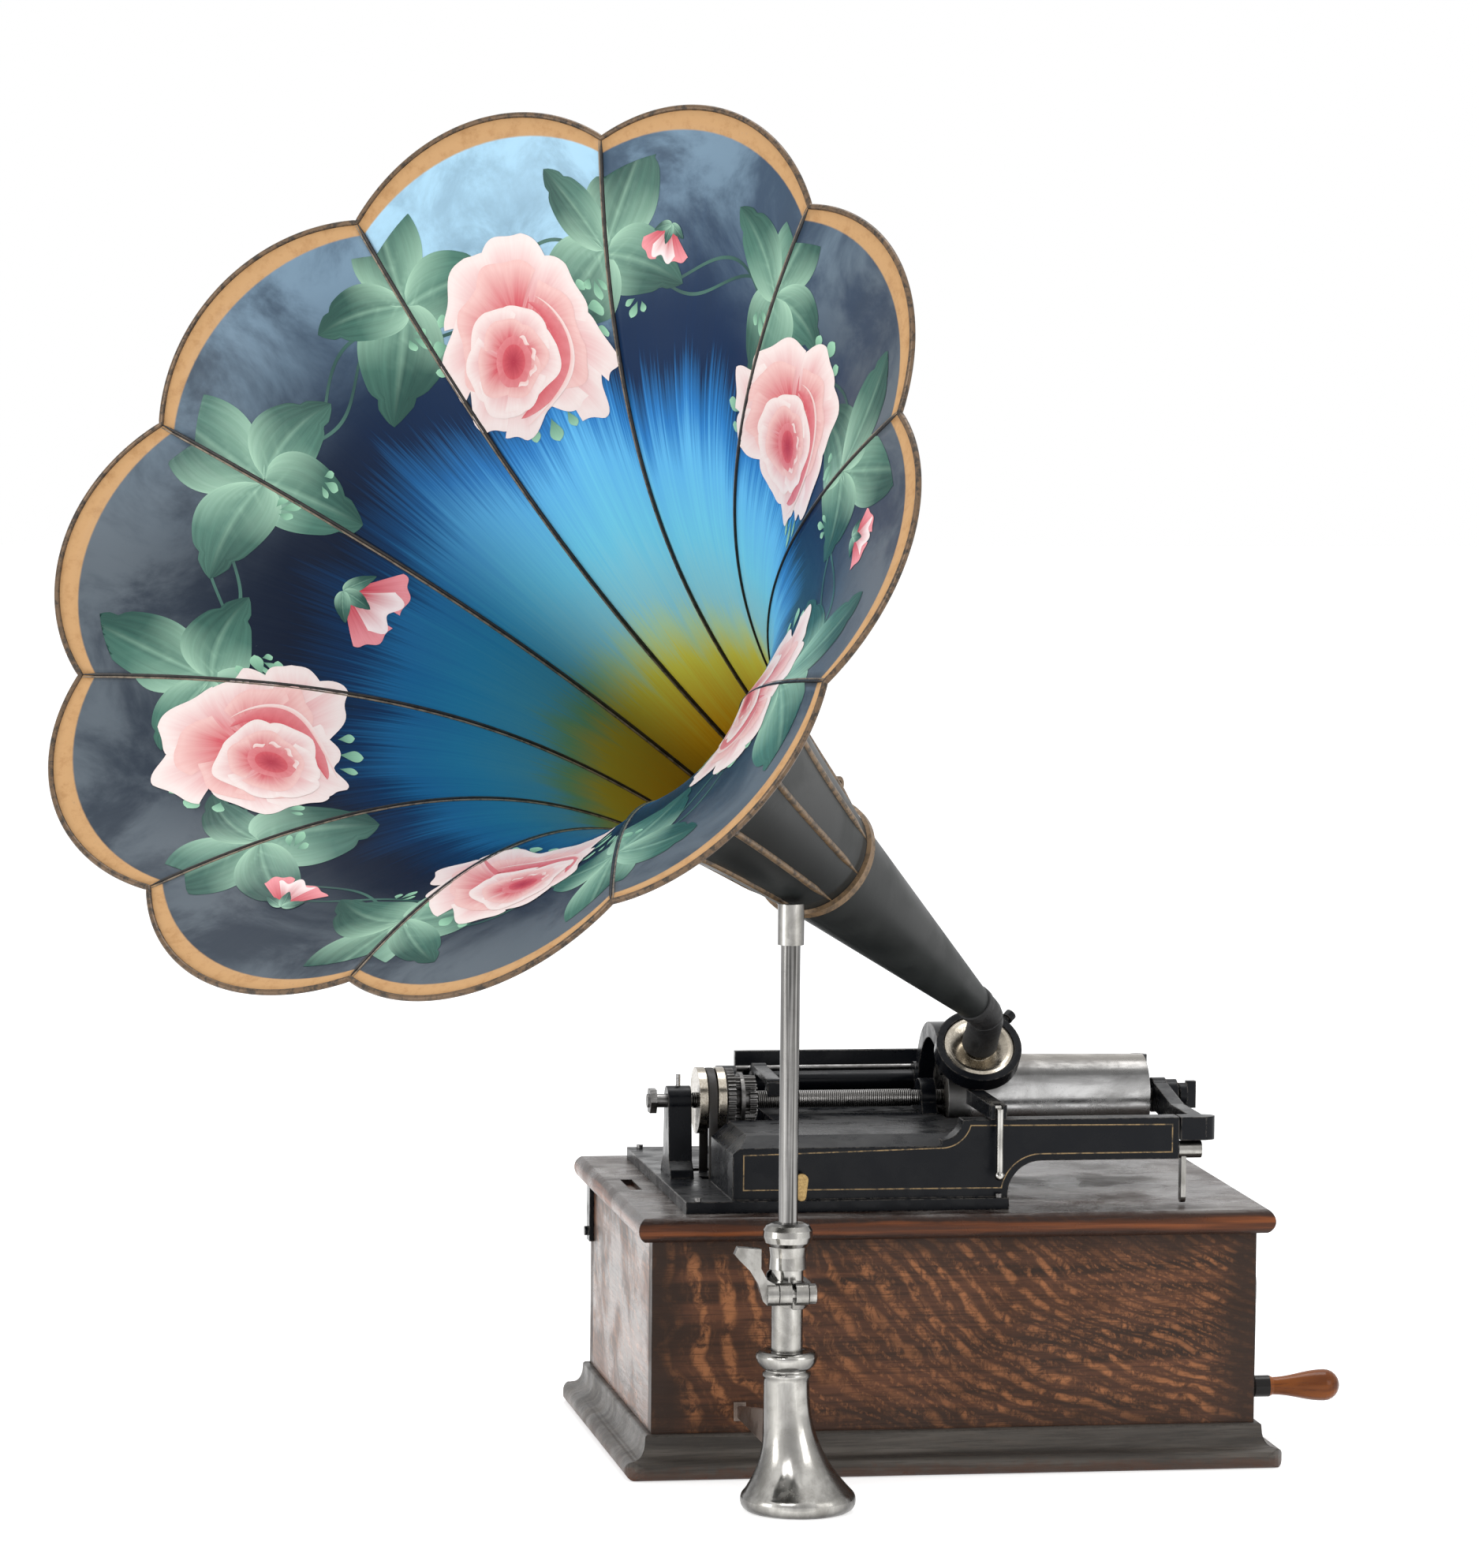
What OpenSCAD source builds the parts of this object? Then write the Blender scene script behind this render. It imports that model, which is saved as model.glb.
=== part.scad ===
// Cylinder phonograph with a petal horn on its own stand.
// Origin: centre of the cabinet's underside. X runs right along the machine, Y away from the player, Z up.

/* [Cabinet] */
// Width of the top board, left to right
board_w = 324; // [316:1:332]
// Depth of the top board, front to back
board_d = 232; // [228:1:240]
// Thickness of the top board
board_t = 12; // [10:0.5:14]
// Radius of the board's rounded nose
nose_r = 7; // [6.2:0.1:9]
// Height of the top board's underside
case_h = 119; // [117:0.5:124]
// Width of the case over its side panels
case_w = 308; // [304:1:312]
// Depth of the case over its front and back panels
case_d = 215; // [212:1:220]
// Thickness of the case panels
wall = 10; // [8:0.5:12]
// Height of the base moulding
mould_h = 22; // [20:0.5:24]
// How far the base moulding stands out from the panels
mould_out = 14; // [12:0.5:16]

/* [Bed casting] */
// Left edge of the bed flange
bed_x0 = -136; // [-140:0.5:-135]
// Right edge of the bed flange
bed_x1 = 28; // [27:0.5:30]
// Front edge of the bed flange
bed_y0 = -100; // [-103:0.5:-99]
// Back edge of the bed flange
bed_y1 = 102; // [98:0.5:104]
// Thickness of the bed flange
flange_t = 6; // [5:0.5:7]
// Height of the bed's deck over the top board
deck_h = 37; // [36:0.5:38]
// Wall of the hollow bed
bed_wall = 6; // [5:0.5:8]
// Height of the two rails over the top board
rail_h = 45; // [44:0.5:45.4]
// Thickness of the rails, front to back
rail_t = 12; // [10:0.5:13]
// How far the front rail stops short of the mandrel's right end
rail_short = 2; // [1:0.5:4]

/* [Shaft and mandrel] */
// Height of the main shaft over the top board
shaft_h = 44; // [43.5:0.1:44.5]
// Radius of the main shaft
shaft_r = 4; // [3.6:0.1:4.2]
// Radius of the feed screw
screw_r = 4.5; // [4.4:0.1:4.8]
// Radius of the mandrel at its left end
mandrel_r0 = 22.6; // [21:0.1:23]
// Radius of the mandrel at its right end
mandrel_r1 = 21.3; // [20:0.1:22]
// Left end of the mandrel
mandrel_x0 = 12; // [11:0.5:14]
// Length of the mandrel
mandrel_l = 106; // [100:0.5:106.4]
// Radius of both belt pulleys over their rims
pulley_r = 17; // [16.2:0.1:17.4]

/* [Carriage] */
// Radius of the back rod
rod_r = 3.4; // [3.2:0.1:3.5]
// Back rod's distance behind the main shaft
rod_y = 45; // [44:0.5:46]
// Height of the back rod over the top board
rod_h = 47.5; // [47:0.1:48]
// Radius of the space that the carrier's arch leaves for a record
arch_r = 31; // [30:0.2:32]
// Slope of the reproducer's axis over the horizontal
tilt = 42; // [40:0.5:44]
// Distance from the main shaft to the middle of the reproducer
rep_dist = 42; // [41:0.5:43]
// Reproducer's place along the machine
rep_x = 25; // [24:0.5:26]
// Radius of the reproducer body
rep_r = 18; // [17.5:0.1:18.4]

/* [Horn] */
// Distance from the elbow's bend to the petals' corners
horn_l = 507; // [490:1:520]
// Angle of the horn away from straight ahead, to the left
horn_turn = 43.4; // [41:0.1:46]
// Rise of the horn over the horizontal
horn_rise = 30; // [29.4:0.1:31]
// Turn of the petals about the horn's axis
horn_roll = 2.5; // [0:0.1:8]
// Distance from the bend to the ring where the petals start
ring_s = 187; // [180:1:192]
// Radius of the horn at that ring
ring_r = 28.5; // [27:0.1:29]
// Radius at the petals' corners
mouth_r = 214; // [205:1:220]
// Straight part of the bell's widening
bell_lin = 50; // [44:1:56]
// Power of the bell's flare
bell_pow = 3.65; // [3.4:0.05:4]
// How far the middle of a petal's rim stands out past its corners
lobe_r = 17.7; // [12:0.1:22]
// How far the middle of a petal's rim stands forward of its corners
lobe_s = 7; // [4:0.5:10]
// Number of petals
petals = 10; // [8:1:12]
// Thickness of the horn's sheet
sheet_t = 1; // [0.8:0.1:1.4]
// Height of the folded seams outside the horn
seam_h = 2; // [1.5:0.1:2.4]

/* [Stand] */
// Stand rod's place along the machine
stand_x = -102; // [-105:0.5:-99]
// Stand rod's distance in front of the middle of the cabinet
stand_y = -201; // [-204:0.5:-197]
// Radius of the stand rod
stand_r = 4.7; // [4.4:0.1:4.9]
// Clearance between the horn and the stand's rest
saddle_gap = 1.6; // [1.2:0.1:3]
// Radius of the stand's foot
foot_r = 28.3; // [27:0.1:30]

/* [Crank] */
// Winding shaft's distance in front of the middle of the cabinet
crank_y = -30; // [-32:0.5:-28]
// Depth of the winding shaft under the top board
crank_drop = 39; // [38:0.5:40]
// Throw of the crank
throw = 53.5; // [50:0.5:54]
// Radius of the wooden grip
grip_r = 8.2; // [7.6:0.1:8.8]

/* [Fits] */
// Radial clearance of running fits
run = 0.05; // [0.03:0.01:0.08]
// Radial clearance of fixed fits
snug = 0.02; // [0.02:0.01:0.03]
// Gap between curved faces that pass each other
gap = 0.4; // [0.35:0.05:0.5]

/* [Hidden] */
$fn = 64;

board_z = case_h + board_t;
deck_z = board_z + deck_h;
rail_z = board_z + rail_h;
shaft_z = board_z + shaft_h;
rod_z = board_z + rod_h;
cx = case_w / 2;
cy = case_d / 2;

// Bed body's front and back faces, and the rails that go on from it
body_y0 = bed_y0 + 4;
body_y1 = 70;
body_x0 = -112;
body_x1 = 26;
rail_x1 = mandrel_x0 + mandrel_l - rail_short;
rail_low = rail_z - 21;
cove_r = rail_low - board_z - flange_t - 1;
hinge_x = rail_x1 + 14;
hinge_y = body_y1 - rail_t / 2;
well_x = -80;
well_y = pulley_r + 11;
lug_w = 10;
lug_x0 = -98;
lug_x1 = rail_x1 - 6;
lug_wall = 5;
gate_low = rail_low + 9.2;
gate_boss = 13;
pivot_r = 3.5;

// Belt drive
pulley_x = -116;
shaft_x0 = pulley_x - 1.5;
shaft_x1 = mandrel_x0 + mandrel_l + 3.5;
screw_x0 = -84;
screw_x1 = mandrel_x0 - 16;
gear_x = pulley_x + 15;
pulley_w = 14;
groove_r = pulley_r - 2.5;
belt_w = 4.6;
belt_t = 1.8;

// Motor, hung from the board: the barrel's axis follows from its two pairs of gears
crank_z = case_h - crank_drop;
wind_m = 1.5;
wind_teeth = 34;
arbor_teeth = 51;
train_m = 1;
barrel_teeth = 64;
pinion_teeth = 16;
wheel_teeth = 48;
gov_teeth = 10;
barrel_y = crank_y + 60;
barrel_z = crank_z - sqrt(pow(wind_m * (wind_teeth + arbor_teeth) / 2, 2) - pow(barrel_y - crank_y, 2));
motor_z = barrel_z + sqrt(pow(train_m * (barrel_teeth + pinion_teeth) / 2, 2) - pow(barrel_y, 2));
gov_y = -27;
gov_z = motor_z + sqrt(pow(train_m * (wheel_teeth + gov_teeth) / 2, 2) - pow(gov_y, 2));
plate_x0 = -44;
plate_x1 = 42;
plate_y0 = -60;
plate_y1 = 86;
plate_low = case_h - 97;
plate_t = 4;
plate_lip = 10;
pillar_r = 4;
pillar_in = 8;
arbor_r = 5;
gov_r = 2.5;
gear_w = 8;
wind_x = plate_x1 + plate_t + 4;
gov_out = 13;
gov_mid = 56.5;
gov_half = 18;
ball_r = 4.5;
disc_r = 14;

// Spring barrel and the strip wound in it
barrel_r = 29;
barrel_x = plate_x0 + plate_t + 1.5;
barrel_l = plate_x1 - 1.5 - barrel_x - 5;
barrel_wall = 2.5;
lid_t = 3;
train_w = 4;
coil_turns = 6;
coil_steps = 20;
strip_t = 1;

// Crank
crank_x = cx + 12.5;
crank_t = 5;
grip_z = crank_z - throw;
grip_l = 46;
pin_r = 2.2;
ferrule_r = 5.6;
ferrule_l = 8.6;
grip_neck = 4.6;

// Start lever's pin on the front of the bed
start_x = -78.5;
start_z = board_z + flange_t + 2.8;

// Carriage
sleeve_r = 5.2;
collar_r = rod_z - deck_z - 1;
bush_r = 4.3;
sleeve_x0 = -80;
sleeve_x1 = 31;
arm_x0 = 6;
arm_x1 = 25;
ring_out = rep_r + 4;
spigot_r = 6.9;
hose_r = 8.9;
elbow_dist = rep_dist + 31;
bend = [rep_x, -elbow_dist * cos(tilt), shaft_z + elbow_dist * sin(tilt)];

// Elbow: the horn's direction in the reproducer's frame gives the bend's angle, its turn and its two ends
bend_r = 20;
horn_x = -cos(horn_rise) * sin(horn_turn);
horn_y = sin(horn_rise) * cos(tilt) - cos(horn_rise) * cos(horn_turn) * sin(tilt);
bend_turn = atan2(horn_y, horn_x);
bend_angle = acos(cos(horn_rise) * cos(horn_turn) * cos(tilt) + sin(horn_rise) * sin(tilt));
bend_end = bend_r * tan(bend_angle / 2);
hose_sides = 24;
bend_steps = 8;
neck_s0 = 7.4;
neck_s1 = 16;
hose_end = neck_s1 - gap;

// Stations of the elbow's middle line: place across and along the reproducer's axis, and angle
elbow_line = concat([[0, rep_dist + 6 - elbow_dist, 0]],
    [for (i = [0 : bend_steps]) let (a = bend_angle * i / bend_steps)
        [bend_r * (1 - cos(a)), bend_r * sin(a) - bend_end, a]],
    [[hose_end * sin(bend_angle), hose_end * cos(bend_angle), bend_angle]]);
lever_y = bed_y0 - 3;
lever_z = rail_z + 5;

// Horn: the rest of the mouth's radius is the flare's share
bell_len = horn_l - ring_s;
bell_flare = mouth_r - ring_r - bell_lin;
rows = 14;
across = [-1, -0.96, -0.95, -0.5, 0, 0.5, 0.95, 0.96, 1];
cols = len(across);
half_petal = 180 / petals;

// Lid: board slot, hinges and stay
slot_x = -board_w / 2 + 11;
slot_w = 6;
slot_y = 5.5;
slot_l = 37;
butt_at = 122;
butt_w = 24;
leaf_t = 2;
leaf_h = 24;
knuckle_r = 3;
stay_y = cy - 6.5;
stay_w = 10;
stay_t = 2.5;
stay_h = 31;

// Stand: foot, its tube and cup, then sleeve, clamp and nut
foot_off = 6.2;
lip_r = 5.8;
tube_r = 11.2;
tube_h = 66;
cup_z = 70;
cup_r = 15.2;
cup_h = 8.8;
sleeve_z = 60;
sleeve_out = 7.7;
strut_t = 3;
strut_x = stand_x - 9;
strut_z = 31;
clamp_z = 99;
clamp_h = 20;
clamp_top = 130;
clamp_r = 12.2;
clamp_tip = 22;
clamp_roll = 16;
clamp_y = stand_y - 16;
clamp_axis_z = 109;
ear_w = 7;
ear_r = 5.5;
screw_in = 2.5;

// Stand's rest: where the horn passes over the rod, how wide it is there and how low its underside
widen = bell_lin / bell_len;
rest_s = ((bend[0] - stand_x) * sin(horn_turn) + (bend[1] - stand_y) * cos(horn_turn)) / cos(horn_rise);
rest_r = ring_r + widen * (rest_s - ring_s) + sheet_t + seam_h + saddle_gap;
saddle_z = bend[2] + rest_s * sin(horn_rise) - rest_r / cos(horn_rise);
cap_r = 6.4;
cap_h = 14;

// Lays a shape drawn in the YZ plane along X from x
module along_x(x, y, z) {
    translate([x, y, z]) rotate([90, 0, 90]) children();
}

// Lays a shape drawn in the XZ plane along Y, towards the back, from y
module along_y(y) {
    translate([0, y, 0]) mirror([0, 1, 0]) rotate([90, 0, 0]) children();
}

// A round bar along X between two places
module bar_x(x0, x1, y, z, r) {
    along_x(x0, y, z) cylinder(h = x1 - x0, r = r);
}

// A box from its low corner to its high corner
module block(a, b) {
    translate(a) cube(b - a);
}

// The reproducer's frame: Z runs out along its axis from the main shaft
module rep_frame() {
    translate([rep_x, 0, shaft_z]) rotate([90 - tilt, 0, 0]) children();
}

// The horn's frame: Z runs out along the horn from the elbow's bend
module horn_frame() {
    translate(bend) rotate([0, 90 - horn_rise, 270 - horn_turn]) children();
}

// A flat bar with round ends, drawn from a to b
module link_2d(a, b, ra, rb) {
    d = b - a;
    n = [-d[1], d[0]] / norm(d);
    translate(a) circle(ra);
    translate(b) circle(rb);
    polygon([a + n * ra, a - n * ra, b - n * rb, b + n * rb]);
}

// Gear outline with thin trapezium teeth, one of them centred at angle at
module gear_2d(teeth, m, at) {
    pitch = 360 / teeth;
    low = m * (teeth / 2 - 1.3);
    high = m * (teeth / 2 + 0.85);
    polygon([for (i = [0 : teeth - 1]) for (p = [[-0.27, low], [-0.1, high], [0.1, high], [0.27, low]])
        p[1] * [cos(at + (i + p[0]) * pitch), sin(at + (i + p[0]) * pitch)]]);
}

// Angle in the YZ plane from one axis to another
function bearing(a, b) = atan2(b[1] - a[1], b[0] - a[0]);

module case_panel_x(y) {
    block([-cx, y, 0], [cx, y + wall, case_h]);
}

module case_front() color("saddlebrown") case_panel_x(-cy);

module case_back() color("saddlebrown") case_panel_x(cy - wall);

module case_left() color("saddlebrown") block([-cx, wall - cy, 0], [wall - cx, cy - wall, case_h]);

module case_right() color("saddlebrown") difference() {
    block([cx - wall, wall - cy, 0], [cx, cy - wall, case_h]);
    bar_x(cx - wall - 1, cx + 1, crank_y, crank_z, arbor_r + 2);
}

module bottom_board() color("peru")
    block([wall - cx, wall - cy, 0], [cx - wall, cy - wall, wall]);

// Moulding section: round nose, hollow slope and top bead, with x outwards from the panel
module mould_2d() {
    nose = mould_h * 0.23;
    slope = mould_out - nose - 4.2;
    rise = mould_h - 2 * nose - 3.4;
    polygon(concat([[0, 0], [mould_out - nose, 0]],
        [for (a = [-60 : 15 : 90]) [mould_out - nose + nose * cos(a), nose + nose * sin(a)]],
        [for (a = [0 : 15 : 90]) [3.4 + slope * (1 - sin(a)), 2 * nose + 0.4 + rise * (1 - cos(a))]],
        [[3.2, mould_h - 0.8], [2.2, mould_h], [0, mould_h]]));
}

// Plan of the moulding, with rounded corners
module mould_plan() {
    r = mould_out - 2;
    linear_extrude(mould_h) polygon([for (k = [0 : 3]) for (a = [0 : 15 : 90])
        [(k == 0 || k == 3 ? 1 : -1) * (cx + mould_out - r) + r * cos(90 * k + a),
            (k < 2 ? 1 : -1) * (cy + mould_out - r) + r * sin(90 * k + a)]]);
}

// One side of the moulding, mitred at both ends, standing along X with its face towards the front
module mould_side(w, d) {
    intersection() {
        translate([-w / 2 - mould_out, -d / 2, 0]) rotate([90, 0, 90]) mirror([1, 0, 0])
            linear_extrude(w + 2 * mould_out) mould_2d();
        linear_extrude(mould_h) polygon([[-w / 2, -d / 2], [-w / 2 - mould_out, -d / 2 - mould_out],
            [w / 2 + mould_out, -d / 2 - mould_out], [w / 2, -d / 2]]);
    }
}

module base_moulding() color("sienna") intersection() {
    for (k = [0, 1]) rotate([0, 0, 180 * k]) {
        mould_side(case_w, case_d);
        rotate([0, 0, 90]) mould_side(case_d, case_w);
    }
    mould_plan();
}

// Board section with both noses, w wide
module board_2d(w) {
    intersection() {
        translate([-w / 2, 0]) square([w, board_t]);
        union() {
            translate([nose_r - w / 2, 0]) square([w - 2 * nose_r, board_t]);
            for (k = [-1, 1]) translate([k * (w / 2 - nose_r), board_t / 2]) circle(nose_r);
        }
    }
}

// Slots for the belt's two strands
module belt_slots(z0, z1) {
    for (k = [-1, 1])
        block([pulley_x + 1, k * groove_r - 5, z0], [pulley_x + pulley_w - 1, k * groove_r + 5, z1]);
}

module top_board() color("sienna") difference() {
    translate([0, 0, case_h]) intersection() {
        along_x(-board_w / 2, 0, 0) linear_extrude(board_w) board_2d(board_d);
        along_y(-board_d / 2) linear_extrude(board_d) board_2d(board_w);
    }
    belt_slots(case_h - 1, board_z + 1);
    block([slot_x, slot_y - slot_l / 2, board_z - 3], [slot_x + slot_w, slot_y + slot_l / 2, board_z + 1]);
}

// Two butt hinges at the back of the board
module lid_hinges() color("black") for (x = [-butt_at - butt_w / 2, butt_at - butt_w / 2]) {
    y = max(cy, board_d / 2) + knuckle_r + 0.2;
    bar_x(x, x + butt_w, y, case_h - 1, knuckle_r);
    block([x, cy + 0.2, case_h - leaf_h], [x + butt_w, cy + 0.2 + leaf_t, case_h - 3]);
    block([x, cy + 0.2, case_h - 4], [x + butt_w, y, case_h - 1]);
}

module lid_stay() color("black") {
    block([-cx - stay_t, stay_y - stay_w / 2, case_h - stay_h], [-cx, stay_y + stay_w / 2, case_h]);
    bar_x(-cx - stay_t - 2, -cx - stay_t, stay_y, case_h - stay_h + 5, 2.5);
}

module crank_escutcheon() color("goldenrod") difference() {
    bar_x(cx, cx + 2.5, crank_y, crank_z, 15);
    bar_x(cx - 1, cx + 4, crank_y, crank_z, arbor_r + run);
}

// Bed body as a solid: bevelled front edge and bevelled left end
module bed_body() {
    front = [[body_y0, board_z], [body_y0, deck_z - 5], [body_y0 + 12, deck_z], [body_y1, deck_z],
        [body_y1, board_z]];
    side = [[body_x0, board_z], [body_x0, deck_z - 8], [body_x0 + 9, deck_z], [body_x1, deck_z],
        [body_x1, board_z]];
    intersection() {
        along_x(body_x0, 0, 0) linear_extrude(body_x1 - body_x0) polygon(front);
        along_y(body_y0) linear_extrude(body_y1 - body_y0) polygon(side);
    }
}

// Front rail's outline: pillar with an ogee on its left, arm, and cove below the arm
module rail_2d() {
    ogee_r = rail_z - deck_z + 3;
    cove_x = body_x1 + cove_r + 2;
    difference() {
        polygon([[-6, board_z + flange_t], [-6, rail_z], [rail_x1, rail_z], [rail_x1, rail_low],
            [cove_x, rail_low], [cove_x, rail_low - cove_r], [bed_x1, rail_low - cove_r],
            [bed_x1, board_z + flange_t]]);
        translate([-6, deck_z + ogee_r - 2]) circle(ogee_r);
        translate([cove_x, rail_low - cove_r]) circle(cove_r);
    }
}

// A lug round the back rod, standing on the bed
module rod_lug(x, y0, z0) {
    along_x(x, 0, 0) linear_extrude(lug_w) {
        translate([rod_y, rod_z]) circle(rod_r + lug_wall);
        polygon([[y0, z0], [rod_y - rod_r - lug_wall, rod_z],
            [rod_y + rod_r + lug_wall, rod_z], [body_y1, z0]]);
    }
}

module bed_casting() color("#1c1d1f") difference() {
    union() {
        block([bed_x0, bed_y0, board_z], [bed_x1, bed_y1, board_z + flange_t]);
        bed_body();
        along_y(body_y0) linear_extrude(rail_t) rail_2d();
        block([body_x1 - 1, body_y1 - rail_t, rail_low - 7], [hinge_x, body_y1, rail_z]);
        translate([hinge_x, hinge_y, rail_low - 7]) cylinder(h = 13, r = rail_t / 2 + 1);
        rod_lug(lug_x0, rod_y - 9, deck_z - 1);
        rod_lug(lug_x1, rod_y + 2, rail_z - 8);
        block([well_x - 18, 37, board_z], [well_x, body_y1, deck_z]);
    }
    block([body_x0 - 1, -well_y, board_z + flange_t], [well_x, well_y, deck_z + 1]);
    block([body_x0 - 1, well_y - 1, board_z + flange_t], [lug_x0, body_y1 + 1, deck_z + 1]);
    block([well_x + bed_wall, body_y0 + bed_wall, board_z - 1],
        [mandrel_x0 - bed_wall - 2, body_y1 - bed_wall, deck_z - bed_wall]);
    bar_x(mandrel_x0 - 2, body_x1 + 1, 0, shaft_z, arch_r - 1.5);
    block([hinge_x - 8, body_y1 - rail_t - 1, rail_low + 6], [hinge_x + 1, body_y1 + 1, rail_z + 1]);
    bar_x(lug_x0 - 1, lug_x1 + lug_w + 1, rod_y, rod_z, rod_r + snug);
    bar_x(rail_x1 - 14, rail_x1 + 1, body_y0 + rail_t / 2, rail_low + 4, 2.5 + run);
    translate([hinge_x, hinge_y, rail_low - 8]) cylinder(h = 20, r = 2.5 + snug);
    belt_slots(board_z - 1, board_z + flange_t + 1);
    along_y(body_y0 - 1) linear_extrude(9) translate([start_x, start_z]) circle(1.5 + snug);
}

module bed_screws() color("dimgray") for (x = [bed_x0 + 6, bed_x1 - 5], y = [bed_y0 + 1.8, bed_y1 - 6])
    translate([x, y, board_z + flange_t]) cylinder(h = 2, r = 1.7);

module pivot_post() color("#1c1d1f") difference() {
    union() {
        bar_x(bed_x0 + 5, bed_x0 + 17, 0, shaft_z, 7.6);
        along_x(bed_x0 + 5, 0, 0) linear_extrude(12) polygon([[-17, board_z + flange_t],
            [-15, board_z + 10], [-10, board_z + 14], [-7, shaft_z], [7, shaft_z], [10, board_z + 14],
            [15, board_z + 10],
            [17, board_z + flange_t]]);
    }
    bar_x(bed_x0, bed_x0 + 20, 0, shaft_z, 3.5 + snug);
    translate([bed_x0 + 11, 0, shaft_z + 4]) cylinder(h = 10, r = 1.2 + snug);
}

// Pivot with its wing nut, and the oil pin over it
module pivot_screw() color("silver") {
    along_x(bed_x0 - 5, 0, shaft_z) {
        cylinder(h = 23, r = 3.5);
        translate([0, 0, 23]) cylinder(h = 3.6, r1 = 3.5, r2 = 0.3);
        translate([0, 0, 1]) cylinder(h = 3.5, r = 7, $fn = 6);
    }
    translate([bed_x0 + 11, 0, shaft_z + 4.5]) cylinder(h = 9, r = 1.2);
}

module centre_bearing() color("#1c1d1f") difference() {
    union() {
        bar_x(0, 8, 0, shaft_z, 10);
        along_x(0, 0, 0) linear_extrude(8)
            polygon([[-14, deck_z], [-9, shaft_z], [9, shaft_z], [14, deck_z]]);
    }
    block([-1, -15, deck_z - 5], [9, 15, deck_z]);
    bar_x(-1, 9, 0, shaft_z, shaft_r + run);
}

module back_rod() color("silver") bar_x(lug_x0 - 2, lug_x1 + lug_w + 1, rod_y, rod_z, rod_r);

module rear_guard() color("#1c1d1f")
    block([lug_x0 + lug_w + 3, body_y1 - 6, deck_z], [20, body_y1 - 2, board_z + 61]);

module rear_rail() color("silver") {
    y = body_y1 - 10;
    z = board_z + 52.5;
    bar_x(lug_x0 + lug_w + 1, lug_x1 - 2, y, z, 1.5);
    for (x = [lug_x0 + lug_w + 4, lug_x1 - lug_w])
        block([x, y + 1, x < 0 ? deck_z : rail_z], [x + 3, y + 3.8, z]);
}

module gate_hinge_pin() color("dimgray") translate([hinge_x, hinge_y, rail_low - 7]) {
    cylinder(h = 38, r = 2.5);
    translate([0, 0, 36]) cylinder(h = 4, r = 5);
}

// Outline of the belt: half a ring round each pulley, and two straight strands
module belt_2d() {
    inner = groove_r + gap;
    outer = inner + belt_t;
    for (k = [0, 1]) translate([0, k ? shaft_z : motor_z]) intersection() {
        difference() {
            circle(outer);
            circle(inner);
        }
        translate([-2 * inner, k ? 0 : -4 * inner]) square(4 * inner);
    }
    for (y = [-outer, inner]) translate([y, motor_z]) square([belt_t, shaft_z - motor_z]);
}

module drive_belt() color("#2a2420") along_x(pulley_x + (pulley_w - belt_w) / 2, 0, 0)
    linear_extrude(belt_w) belt_2d();

// Motor plate with its top flange against the board, and bearings for the shafts
module motor_plate(x, side) {
    difference() {
        union() {
            block([x, plate_y0, plate_low], [x + plate_t, plate_y1, case_h]);
            block([side > 0 ? x : x - plate_lip, plate_y0, case_h - plate_t],
                [side > 0 ? x + plate_t + plate_lip : x + plate_t, plate_y1, case_h]);
        }
        bar_x(x - 1, x + plate_t + 1, barrel_y, barrel_z, arbor_r + run);
        bar_x(x - 1, x + plate_t + 1, 0, motor_z, shaft_r + run);
        bar_x(x - 1, x + plate_t + 1, gov_y, gov_z, gov_r + run);
        bar_x(x - 1, x + plate_t + 1, crank_y, crank_z, arbor_r + run);
        bar_x(x - 1, x + plate_t + 1, plate_y0 + 25, plate_low + 23, 14);
    }
}

module motor_plate_left() color("darkgray") motor_plate(plate_x0, -1);

module motor_plate_right() color("darkgray") motor_plate(plate_x1, 1);

module motor_pillars() color("gray")
    for (y = [plate_y0 + pillar_in, plate_y1 - pillar_in])
        for (z = [plate_low + pillar_in, case_h - 2 * pillar_in])
            bar_x(plate_x0 + plate_t, plate_x1, y, z, pillar_r);

// Foot: bell with a round lip, set off to one side, under an upright tube with a cup on top
module foot_body() {
    lip_top = lip_r * (1 + sin(50));
    translate([stand_x + foot_off, stand_y, 0]) rotate_extrude() polygon(concat(
        [[0, 0], [foot_r - lip_r, 0]],
        [for (a = [-70 : 20 : 50]) [foot_r - lip_r + lip_r * cos(a), lip_r + lip_r * sin(a)]],
        [for (i = [1 : 9]) [4 + (foot_r - 6) * pow(1 - i / 9, 3), lip_top + (sleeve_z - lip_top) * i / 9]],
        [[0, sleeve_z]]));
    translate([stand_x, stand_y, 0]) rotate_extrude() polygon([[0, 2], [tube_r, 2], [tube_r, tube_h],
        [tube_r + 0.7, tube_h + 0.6], [tube_r + 0.7, tube_h + 2.2], [tube_r - 0.8, tube_h + 3],
        [tube_r - 0.8, cup_z], [tube_r + 0.8, cup_z + 0.4], [cup_r - 0.6, cup_z + cup_h * 0.45],
        [cup_r, cup_z + cup_h * 0.72], [cup_r - 0.3, cup_z + cup_h * 0.9], [cup_r - 1.6, cup_z + cup_h],
        [0, cup_z + cup_h]]);
}

module stand_foot() color("silver") difference() {
    foot_body();
    translate([stand_x, stand_y, -1]) cylinder(h = sleeve_z + 1, r = stand_r + 0.5);
    translate([stand_x, stand_y, sleeve_z]) cylinder(h = cup_z, r = sleeve_out + snug);
}

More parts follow.
